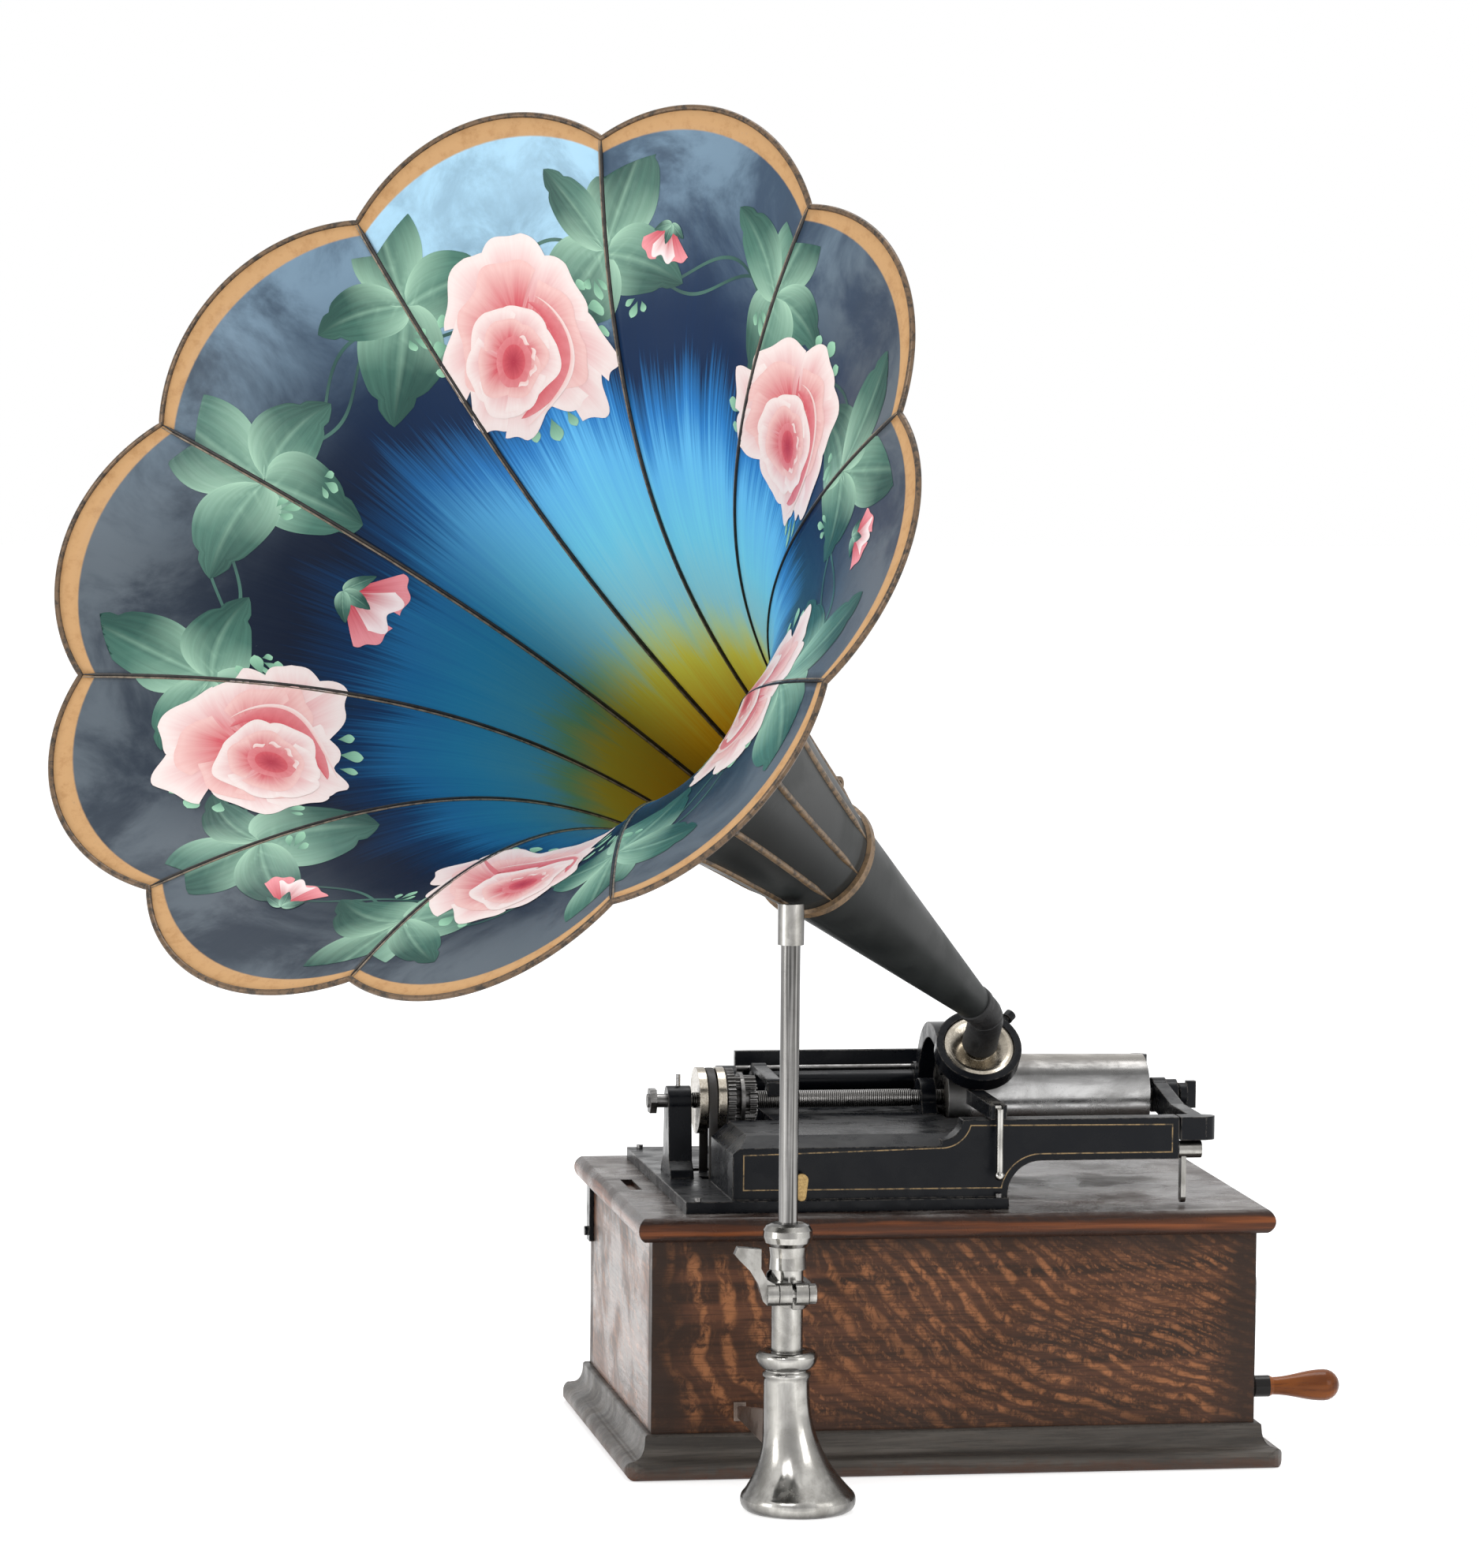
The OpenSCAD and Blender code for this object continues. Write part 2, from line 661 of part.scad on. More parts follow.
// Flat strut from the foot's tube back to the case, with a pad against the front panel
module stand_strut() color("silver") difference() {
    union() {
        along_x(strut_x, 0, 0) linear_extrude(strut_t) polygon([[stand_y + 3, strut_z],
            [stand_y + 3, strut_z + 18.5], [-cy - 1, strut_z + 4.5], [-cy - 1, strut_z - 1]]);
        block([strut_x - 1.5, -cy - 2, strut_z - 3], [strut_x + strut_t + 1.5, -cy, strut_z + 6.5]);
    }
    translate([stand_x, stand_y, 0]) cylinder(h = tube_h, r = tube_r);
}

module stand_sleeve() color("silver") translate([stand_x, stand_y, sleeve_z]) difference() {
    cylinder(h = clamp_top - sleeve_z, r = sleeve_out);
    translate([0, 0, -1]) cylinder(h = clamp_top, r = stand_r + run);
}

// Clamp: tilted ring, split at the front between two ears
module stand_clamp() color("silver") difference() {
    union() {
        translate([stand_x, stand_y, clamp_axis_z]) rotate([clamp_tip, clamp_roll, 0])
            cylinder(h = 8, r = clamp_r, center = true);
        block([stand_x - ear_w, clamp_y, clamp_axis_z - ear_r + 1],
            [stand_x + ear_w, stand_y, clamp_axis_z + ear_r - 1]);
        bar_x(stand_x - ear_w, stand_x + ear_w, clamp_y, clamp_axis_z, ear_r);
    }
    translate([stand_x, stand_y, clamp_z - 20]) cylinder(h = 60, r = sleeve_out + snug);
    block([stand_x - 1, clamp_y - 7, clamp_z - 20], [stand_x + 1, stand_y, clamp_z + 40]);
    bar_x(stand_x - ear_w - 1, stand_x + ear_w + 1, clamp_y, clamp_axis_z, screw_in + run);
}

// Nut: cup with a round bead at its top
module stand_nut() color("silver") translate([stand_x, stand_y, clamp_z + clamp_h]) difference() {
    bead = 12.2;
    rotate_extrude() polygon([[0, 0], [bead - 3, 0], [bead - 3.4, 6], [bead - 2.8, 11],
        [bead - 0.9, 13], [bead, 16], [bead - 0.3, 19], [bead - 1.8, 21.4], [bead - 4.2, 22.4], [0, 22.4]]);
    translate([0, 0, -1]) cylinder(h = clamp_top - clamp_z - clamp_h + 1, r = sleeve_out + snug);
    translate([0, 0, -1]) cylinder(h = 30, r = stand_r + run);
}

module winding_shaft() color("gray") {
    bar_x(plate_x1 - 4, crank_x, crank_y, crank_z, arbor_r);
    along_x(wind_x, crank_y, crank_z) linear_extrude(gear_w)
        gear_2d(wind_teeth, wind_m, bearing([crank_y, crank_z], [barrel_y, barrel_z]));
}

// Crank arm with the pin that the grip turns on
module crank_arm() color("gray") {
    along_x(crank_x, 0, 0) linear_extrude(crank_t) link_2d([crank_y, crank_z], [crank_y, grip_z], 8, 6);
    bar_x(crank_x + crank_t, crank_x + crank_t + grip_l - 6, crank_y, grip_z, pin_r);
}

// Turned grip: ferrule at the arm, then a neck that swells into a round end
module crank_grip() color("chocolate") along_x(crank_x + crank_t + gap, crank_y, grip_z) difference() {
    bulb = grip_l - grip_r;
    start = ferrule_l + 2;
    rotate_extrude() polygon(concat(
        [[0, 0], [ferrule_r - 0.6, 0], [ferrule_r, 0.8], [ferrule_r, ferrule_l]],
        [for (t = [0 : 0.1 : 1])
            [grip_neck + (grip_r - grip_neck) * (1 - cos(180 * t)) / 2, start + (bulb - start) * t]],
        [for (a = [15 : 15 : 90]) [grip_r * cos(a), bulb + grip_r * sin(a)]]));
    translate([0, 0, -1]) cylinder(h = grip_l - 6 + 1, r = pin_r + run);
}

module barrel_arbor() color("gray") {
    bar_x(plate_x0, wind_x + gear_w, barrel_y, barrel_z, arbor_r);
    to = bearing([barrel_y, barrel_z], [crank_y, crank_z]);
    along_x(wind_x, barrel_y, barrel_z) linear_extrude(gear_w)
        gear_2d(arbor_teeth, wind_m, to + 180 / arbor_teeth);
}

// Barrel: drum closed by its gear on the left and by its lid on the right
module spring_barrel() color("darkkhaki") along_x(barrel_x, barrel_y, barrel_z) difference() {
    union() {
        linear_extrude(train_w) gear_2d(barrel_teeth, train_m, bearing([barrel_y, barrel_z], [0, motor_z]));
        cylinder(h = barrel_l, r = barrel_r);
    }
    translate([0, 0, train_w]) cylinder(h = barrel_l - train_w - lid_t, r = barrel_r - barrel_wall);
    translate([0, 0, -1]) cylinder(h = barrel_l + 2, r = arbor_r + run);
}

// Point i of the strip's spiral, off outwards from its inside
function coil_point(i, off) =
    let (low = arbor_r + gap)
    let (high = barrel_r - barrel_wall - gap - strip_t)
    let (r = low + (high - low) * i / (coil_turns * coil_steps) + off)
    r * [cos(360 * i / coil_steps), sin(360 * i / coil_steps)];

// Wound mainspring, from the arbor out to the barrel's wall
module mainspring() color("slategray") along_x(barrel_x + train_w + gap, barrel_y, barrel_z)
    linear_extrude(barrel_l - train_w - lid_t - 2 * gap) polygon(concat(
        [for (i = [0 : coil_turns * coil_steps]) coil_point(i, 0)],
        [for (i = [coil_turns * coil_steps : -1 : 0]) coil_point(i, strip_t)]));

module motor_shaft() color("gray") {
    bar_x(pulley_x - 2, plate_x1 + plate_t + 2, 0, motor_z, shaft_r);
    to_barrel = bearing([0, motor_z], [barrel_y, barrel_z]);
    along_x(barrel_x - 0.5, 0, motor_z) linear_extrude(train_w + 1)
        gear_2d(pinion_teeth, train_m, to_barrel + 180 / pinion_teeth);
    along_x(plate_x0 - 12, 0, motor_z) linear_extrude(train_w)
        gear_2d(wheel_teeth, train_m, bearing([0, motor_z], [gov_y, gov_z]));
}

// Belt pulley, drawn along X from 0, with a bore for the shaft
module pulley() {
    rim = (pulley_w - belt_w - 1) / 2;
    rotate_extrude() polygon([[shaft_r + snug, 0], [pulley_r, 0], [pulley_r, rim], [groove_r, rim + 0.4],
        [groove_r, pulley_w - rim - 0.4], [pulley_r, pulley_w - rim], [pulley_r, pulley_w],
        [shaft_r + snug, pulley_w]]);
}

module motor_pulley() color("silver") along_x(pulley_x, 0, motor_z) pulley();

// Governor: spindle with its pinion, friction disc, and three weights on leaf springs between two collars
module governor() color("goldenrod") along_x(plate_x0 - gov_out, gov_y, gov_z) {
    cylinder(h = plate_x1 + plate_t - plate_x0 + gov_out, r = gov_r);
    linear_extrude(6) gear_2d(gov_teeth, train_m, bearing([gov_y, gov_z], [0, motor_z]) + 180 / gov_teeth);
    translate([0, 0, gov_mid - 32.5]) cylinder(h = 3, r = disc_r);
    for (k = [-1, 1]) translate([0, 0, gov_mid + k * gov_half - 2.5]) cylinder(h = 5, r = 6);
    for (a = [0 : 120 : 240]) rotate([0, 0, a]) {
        translate([10, 0, gov_mid]) sphere(ball_r);
        for (k = [0, 1]) translate([0, 0, gov_mid]) mirror([0, 0, k])
            rotate([90, 0, 0]) translate([0, 0, -1.5]) linear_extrude(3)
                polygon([[4.5, gov_half], [9, 2], [10.5, 2], [5.8, gov_half + 1]]);
    }
}

// Main shaft: plain ends with centre holes, and the feed screw on its left half
module main_shaft() color("silver") difference() {
    union() {
        bar_x(shaft_x0, shaft_x1, 0, shaft_z, shaft_r);
        bar_x(screw_x0, screw_x1, 0, shaft_z, screw_r);
    }
    along_x(shaft_x0 - 0.1, 0, shaft_z) cylinder(h = 4.6, r1 = shaft_r - 0.2, r2 = 0.8);
    along_x(shaft_x1 - 2.9, 0, shaft_z) cylinder(h = 3, r1 = 0.6, r2 = 3);
}

// Mandrel: thin tapered shell with a web at its left end and an open right end
module mandrel() color("lightgray") along_x(mandrel_x0, 0, shaft_z) difference() {
    cylinder(h = mandrel_l, r1 = mandrel_r0, r2 = mandrel_r1);
    translate([0, 0, 5]) difference() {
        cylinder(h = mandrel_l, r = mandrel_r1 - 3);
        cylinder(h = mandrel_l - 9, r = shaft_r + 4);
    }
    translate([0, 0, -1]) cylinder(h = mandrel_l + 2, r = shaft_r + snug);
}

module mandrel_pulley() color("silver") along_x(pulley_x, 0, shaft_z) pulley();

// Gears that change the feed: large gear, cage with three small gears, end gear
module change_gear() color("gray") along_x(gear_x, 0, shaft_z) difference() {
    union() {
        linear_extrude(4) gear_2d(42, 0.75, 0);
        cylinder(h = 16, r = 7);
        translate([0, 0, 12]) linear_extrude(4) gear_2d(26, 0.75, 0);
        translate([0, 0, 7]) cylinder(h = 2, r = 14);
        for (a = [0 : 120 : 240])
            rotate([0, 0, a]) translate([9.5, 0, 3]) linear_extrude(12) gear_2d(11, 0.75, 0);
    }
    translate([0, 0, -1]) cylinder(h = 18, r = screw_r + snug);
}

module carriage_bush() color("goldenrod") difference() {
    bar_x(sleeve_x0 + 4, sleeve_x1 - 4, rod_y, rod_z, bush_r);
    bar_x(sleeve_x0, sleeve_x1, rod_y, rod_z, rod_r + run);
}

// Carrier: sleeve on the back rod, arch over the record, ring for the reproducer, foot over the front rail
module carrier_arm() color("#1c1d1f") difference() {
    union() {
        bar_x(sleeve_x0, sleeve_x1, rod_y, rod_z, sleeve_r);
        bar_x(arm_x0, arm_x1, rod_y, rod_z, collar_r);
        along_x(arm_x0, 0, 0) linear_extrude(arm_x1 - arm_x0) intersection() {
            translate([0, shaft_z]) difference() {
                circle(arch_r + 8);
                circle(arch_r);
            }
            translate([-elbow_dist * cos(tilt) / 2, rod_z - 4]) square([elbow_dist, 60]);
        }
        rep_frame() translate([0, 0, rep_dist - 4.5]) cylinder(h = 9, r = ring_out);
        block([rep_x - 7, lever_y + 1, rail_z + 0.7], [rep_x + 1, -38, rail_z + 8]);
    }
    rep_frame() translate([0, 0, 10]) cylinder(h = 60, r = rep_r + gap / 2);
    bar_x(sleeve_x0 - 1, sleeve_x1 + 1, rod_y, rod_z, rod_r + gap);
    bar_x(sleeve_x0 + 4 - run, sleeve_x1 - 4 + run, rod_y, rod_z, bush_r + run);
    bar_x(arm_x0 - 1, arm_x1 + 30, 0, shaft_z, arch_r - 1);
    bar_x(rep_x - 9, rep_x + 3, lever_y + 5, lever_z, 1.5 + run);
    block([rep_x - 5, lever_y - 1, rail_z], [rep_x - 1, lever_y + 9, rail_z + 9]);
}

// Spring arm with the half nut that rests on the feed screw
module feed_nut_arm() color("#2b2b2d") difference() {
    x = sleeve_x0 + 1;
    union() {
        bar_x(x, x + 7, rod_y, rod_z, collar_r);
        along_x(x, 0, 0) linear_extrude(7) {
            link_2d([rod_y - 4, rod_z + 7], [0, shaft_z + 9], 1.6, 1.6);
            translate([-5, shaft_z + 2]) square([10, 7]);
        }
    }
    bar_x(x - 1, x + 8, rod_y, rod_z, sleeve_r + snug);
    bar_x(x - 1, x + 8, 0, shaft_z, screw_r + gap);
}

// Reproducer: drum with a dished front and the spigot that the elbow fits on
module reproducer() color("lightgray") rep_frame() rotate_extrude()
    polygon(concat([[3.5, rep_dist - 8], [rep_r, rep_dist - 8], [rep_r, rep_dist + 4],
        [rep_r - 1.5, rep_dist + 5]],
        [for (a = [0 : 15 : 90])
            [spigot_r + (rep_r - 3 - spigot_r) * (1 - sin(a)), rep_dist + 4.5 - 4 * sin(a)]],
        [[spigot_r, rep_dist + 16], [spigot_r - 1.5, rep_dist + 16], [spigot_r - 1.5, rep_dist - 2],
        [3.5, rep_dist - 4]]));

module lock_screw() color("#1c1d1f") rep_frame() translate([0, 0, rep_dist]) rotate([0, 90, 48]) {
    translate([0, 0, ring_out]) cylinder(h = 4, r = 1.6);
    translate([0, 0, ring_out + 4]) cylinder(h = 4, r = 3);
}

// Floating weight under the reproducer, with the stylus in its middle
module stylus_weight() color("silver") rep_frame() {
    translate([0, 0, rep_dist - 13.5]) cylinder(h = 3, r = rep_r - 4);
    translate([0, 0, rep_dist - 16]) cylinder(h = 3, r1 = 0.5, r2 = 2);
    translate([-5, rep_r - 5, rep_dist - 11]) cube([10, 3, 2.6]);
}

module lift_lever() color("silver") {
    bar_x(rep_x - 7, rep_x + 1, lever_y + 5, lever_z, 1.5);
    bar_x(rep_x - 4.7, rep_x - 1.3, lever_y + 5, lever_z, 2.6);
    block([rep_x - 4.4, lever_y - 2, lever_z - 1.5], [rep_x - 1.6, lever_y + 5, lever_z + 1.5]);
    translate([rep_x - 3, lever_y - 2, rail_z - 26]) cylinder(h = 32.5, r = 1.7);
    translate([rep_x - 3, lever_y - 2, rail_z - 27]) sphere(2.6);
}

// Ring of points round one station of the elbow, in the plane frame of its bend
function hose_ring(p, r) = [for (k = [0 : hose_sides - 1]) let (a = 360 * k / hose_sides)
    [p[0] + r * cos(a) * cos(p[2]), r * sin(a), p[1] - r * cos(a) * sin(p[2])]];

// Rubber elbow: straight over the reproducer's spigot, a bend, then straight over the horn's spigot
module horn_elbow() color("#232323") {
    outside = [for (p = elbow_line) each hose_ring(p, hose_r)];
    inside = [for (p = elbow_line) each hose_ring(p, spigot_r + gap)];
    n = len(outside);
    m = hose_sides;
    skin = [for (i = [0 : len(elbow_line) - 2]) for (k = [0 : m - 1])
        let (a = i * m + k) let (b = i * m + (k + 1) % m) each [[a, a + m, b], [b, a + m, b + m]]];
    ends = [for (k = [0 : m - 1]) let (b = (k + 1) % m) let (e = n - m)
        each [[k, b, n + b], [k, n + b, n + k], [e + k, n + e + b, e + b], [e + k, n + e + k, n + e + b]]];
    rep_frame() translate([0, 0, elbow_dist]) rotate([0, 0, bend_turn])
        polyhedron(concat(outside, inside),
            concat(skin, [for (f = skin) [n + f[0], n + f[2], n + f[1]]], ends));
}

// Neck: spigot for the elbow, then a straight cone up to the ring
module horn_neck() color("#26282a") horn_frame() rotate_extrude()
    polygon([[spigot_r - 1.2, neck_s0], [spigot_r, neck_s0], [spigot_r, neck_s1], [hose_r, neck_s1],
        [ring_r + sheet_t, ring_s], [ring_r, ring_s], [hose_r - 1.5, neck_s1 + 2],
        [spigot_r - 1.2, neck_s1 + 2]]);

// Ring over the joint of neck and petals, with the eye for hanging the horn
module horn_ring() color("darkgoldenrod") horn_frame() {
    rotate_extrude() polygon([[ring_r + sheet_t + 0.1, ring_s - 6], [ring_r + sheet_t + 2, ring_s - 5],
        [ring_r + sheet_t + 2, ring_s - 1], [ring_r + sheet_t + 0.1, ring_s]]);
    rotate([90, 0, 180]) translate([ring_r + sheet_t + 2.6, ring_s - 3, -1.5])
        linear_extrude(3) difference() {
            link_2d([0, 0], [7, 2], 2.4, 4);
            translate([7, 2]) circle(2);
        }
}

function bell_r(w) = ring_r + bell_lin * w + bell_flare * pow(w, bell_pow);
function bell_slope(w) = (bell_lin + bell_flare * bell_pow * pow(w, bell_pow - 1)) / bell_len;
function row_w(i) = pow(i / rows, 0.85);

// Point of a petal: w from ring to rim, t across from seam to seam, off outwards from its inside
function petal_point(w, t, off) =
    let (lobe = pow(w, 3) * (1 - t * t))
    let (lean = 1 / sqrt(1 + pow(bell_slope(w), 2)))
    let (r = bell_r(w) + lobe_r * lobe + off * lean)
    let (a = (half_petal - 5 / r) * t)
    [r * cos(a), r * sin(a), ring_s + 0.3 + bell_len * w + lobe_s * lobe - off * lean * bell_slope(w)];

// Thickness at a place on a petal: its edges are folded outwards into seams
function petal_off(w, t) = sheet_t + (abs(t) > 0.955 ? seam_h * min(1, 8 * w) : 0);

module petal() {
    inside = [for (i = [0 : rows]) for (t = across) petal_point(row_w(i), t, 0)];
    outside = [for (i = [0 : rows]) for (t = across) petal_point(row_w(i), t, petal_off(row_w(i), t))];
    n = len(inside);
    skin = [for (i = [0 : rows - 1]) for (j = [0 : cols - 2]) let (k = i * cols + j)
        each [[k, k + cols, k + 1], [k + 1, k + cols, k + cols + 1]]];
    sides = [for (i = [0 : rows - 1]) let (a = i * cols) let (b = a + cols - 1)
        each [[a, n + a, a + cols], [a + cols, n + a, n + a + cols],
            [b, b + cols, n + b], [b + cols, n + b + cols, n + b]]];
    ends = [for (j = [0 : cols - 2]) let (k = rows * cols + j)
        each [[j, j + 1, n + j], [j + 1, n + j + 1, n + j],
            [k, n + k, k + 1], [k + 1, n + k, n + k + 1]]];
    polyhedron(concat(inside, outside),
        concat(skin, [for (f = skin) [n + f[0], n + f[2], n + f[1]]], sides, ends));
}

// Bell: petals standing side by side, each its own sheet
module horn_bell() color("#28506a") horn_frame()
    for (k = [0 : petals - 1]) rotate([0, 0, horn_roll + half_petal * (2 * k + 1)]) petal();

// Gate that carries the mandrel's right pivot, swinging about a pin at the back
module end_gate() color("#1c1d1f") difference() {
    x = hinge_x - 7;
    union() {
        translate([hinge_x, hinge_y, rail_low + 6.5]) cylinder(h = 14, r = rail_t / 2);
        along_x(x, 0, 0) linear_extrude(7) union() {
            translate([0, shaft_z]) circle(9);
            polygon([[hinge_y, rail_low + 6.5], [hinge_y, rail_low + 20.5], [6, shaft_z + 7],
                [-6, shaft_z + 7], [-45, rail_z], [body_y0, rail_z], [body_y0, gate_low], [-45, gate_low],
                [-6, shaft_z - 7], [6, shaft_z - 7]]);
        }
        bar_x(x, x + gate_boss, 0, shaft_z, 8);
        block([rail_x1 + 1, body_y0, gate_low], [x + 7, body_y0 + rail_t, rail_z]);
        translate([x + 7, body_y0 + rail_t / 2, gate_low])
            cylinder(h = rail_z - gate_low, r = rail_t / 2 - 0.5);
    }
    translate([hinge_x, hinge_y, rail_low]) cylinder(h = 40, r = 2.5 + run);
    bar_x(x - 1, x + gate_boss + 1, 0, shaft_z, pivot_r + snug);
}

// Right pivot with its cross-handled head
module gate_screw() color("dimgray") along_x(shaft_x1 - 2.1, 0, shaft_z) {
    cylinder(h = 3, r1 = 0.3, r2 = 2.2);
    translate([0, 0, 2.9]) cylinder(h = 16, r = pivot_r - 0.6);
    translate([0, 0, hinge_x - 7 - shaft_x1 + 2.1]) cylinder(h = 14, r = pivot_r);
    translate([0, 0, 18]) cylinder(h = 4, r = 6);
    translate([-2, -7, 22]) cube([4, 14, 5]);
}

module gate_latch() color("silver") {
    y = body_y0 + rail_t / 2;
    z = rail_low + 4;
    bar_x(rail_x1 - 13, rail_x1 + 1, y, z, 2.5);
    bar_x(rail_x1 + 0.5, rail_x1 + 12.5, y, z, 4.4);
    along_x(rail_x1 + 2, 0, 0) linear_extrude(2.5) link_2d([y, z], [y, z - 24], 3, 3);
}

// Brass start lever on a pin at the front of the bed
module start_lever() color("goldenrod") {
    along_y(bed_y0 - 4.5) linear_extrude(3)
        link_2d([start_x, start_z], [start_x, start_z + 8], 2.4, 3.4);
    along_y(bed_y0 - 1.6) linear_extrude(13) translate([start_x, start_z]) circle(1.5 - run);
}

module stand_rod() color("silver") translate([stand_x, stand_y, sleeve_z + 4])
    cylinder(h = saddle_z - cap_h / 2 - gap - sleeve_z - 4, r = stand_r);

// Rest under the horn: a cap on the rod, hollowed to the horn's form
module stand_saddle() color("silver") difference() {
    half = 40;
    translate([stand_x, stand_y, saddle_z - cap_h]) cylinder(h = cap_h + 6, r = cap_r);
    translate([stand_x, stand_y, saddle_z - cap_h - 1]) cylinder(h = cap_h / 2 + 1, r = stand_r + snug);
    horn_frame() translate([0, 0, rest_s - half])
        cylinder(h = 2 * half, r1 = rest_r - half * widen, r2 = rest_r + half * widen);
}

// Clamp screw across the ears, with one broad wing
module clamp_screw() color("silver") {
    x = stand_x - ear_w - 0.5;
    z = clamp_axis_z;
    bar_x(x - 6, stand_x + ear_w + 3, clamp_y, z, screw_in);
    bar_x(stand_x + ear_w + 0.5, stand_x + ear_w + 4, clamp_y, z, 5);
    bar_x(x - 5.5, x, clamp_y, z, 5.5);
    translate([0, clamp_y - 2.5, 0]) along_y(0) linear_extrude(5) polygon([[x - 1, z - 4.8],
        [x - 1, z + 4.8], [x - 5.5, z + 7.5], [x - 8.5, z + 13], [x - 8.5, z + 22.5], [x - 20, z + 23.5],
        [x - 21.5, z + 20], [x - 19, z + 17], [x - 14, z + 12], [x - 10, z + 5.5], [x - 7.5, z - 3],
        [x - 5.5, z - 5]]);
}

case_front();
case_back();
case_left();
case_right();
bottom_board();
base_moulding();
top_board();
lid_hinges();
lid_stay();
crank_escutcheon();
bed_casting();
bed_screws();
pivot_post();
pivot_screw();
centre_bearing();
back_rod();
rear_guard();
rear_rail();
gate_hinge_pin();
drive_belt();
motor_plate_left();
motor_plate_right();
motor_pillars();
stand_foot();
stand_strut();
stand_sleeve();
stand_clamp();
stand_nut();
winding_shaft();
crank_arm();
crank_grip();
barrel_arbor();
spring_barrel();
mainspring();
motor_shaft();
motor_pulley();
governor();
main_shaft();
mandrel();
mandrel_pulley();
change_gear();
carriage_bush();
carrier_arm();
feed_nut_arm();
reproducer();
lock_screw();
stylus_weight();
lift_lever();
horn_elbow();
horn_neck();
horn_ring();
horn_bell();
end_gate();
gate_screw();
gate_latch();
start_lever();
stand_rod();
stand_saddle();
clamp_screw();
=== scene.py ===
"""Looks of a cylinder phonograph: its finishes, its painted petal horn, the studio and the camera.

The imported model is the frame, and it stays where it is. New pieces are surfaces worked out with numpy in that
frame. Sizes in the classes are millimetres, as on the drawing, and meshes are metres.
"""
from __future__ import annotations

import functools
import logging
from dataclasses import dataclass, field
from enum import Enum
from typing import Optional, Sequence, Union

import bpy
import numpy as np
from mathutils import Matrix


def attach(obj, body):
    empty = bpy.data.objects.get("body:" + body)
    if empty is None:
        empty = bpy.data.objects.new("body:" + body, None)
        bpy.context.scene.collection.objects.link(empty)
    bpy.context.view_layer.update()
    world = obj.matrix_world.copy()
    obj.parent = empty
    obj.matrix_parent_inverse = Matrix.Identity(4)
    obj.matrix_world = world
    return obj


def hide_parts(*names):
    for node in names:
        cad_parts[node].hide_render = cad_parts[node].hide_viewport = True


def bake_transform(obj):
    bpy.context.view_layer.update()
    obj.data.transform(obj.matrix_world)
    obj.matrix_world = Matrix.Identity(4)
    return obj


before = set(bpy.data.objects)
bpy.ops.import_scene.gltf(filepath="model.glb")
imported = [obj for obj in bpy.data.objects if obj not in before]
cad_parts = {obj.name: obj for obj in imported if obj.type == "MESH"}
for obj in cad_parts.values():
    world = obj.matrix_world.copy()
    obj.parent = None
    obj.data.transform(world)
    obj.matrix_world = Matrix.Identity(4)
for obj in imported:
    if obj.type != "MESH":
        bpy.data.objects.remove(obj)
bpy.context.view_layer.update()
LOG = logging.getLogger("phonograph")
MM = 0.001
TURN = 6.2832  # one turn in radians

Vector = tuple[float, float, float]
Colour = tuple[float, float, float]
Stops = tuple[tuple[float, Colour], ...]
Socket = bpy.types.NodeSocket
Value = Union[float, Colour, Socket]


class Body(str, Enum):
    """Moving bodies that new pieces ride on."""

    CABINET = "cabinet"
    CARRIAGE = "carriage"
    ARM = "arm"
    HORN = "horn"


class Grain(Enum):
    """Which way a board's grain runs, as a turn of its pattern in degrees."""

    ALONG_X = (0.0, 0.0, 0.0)
    ALONG_Y = (0.0, 0.0, 90.0)


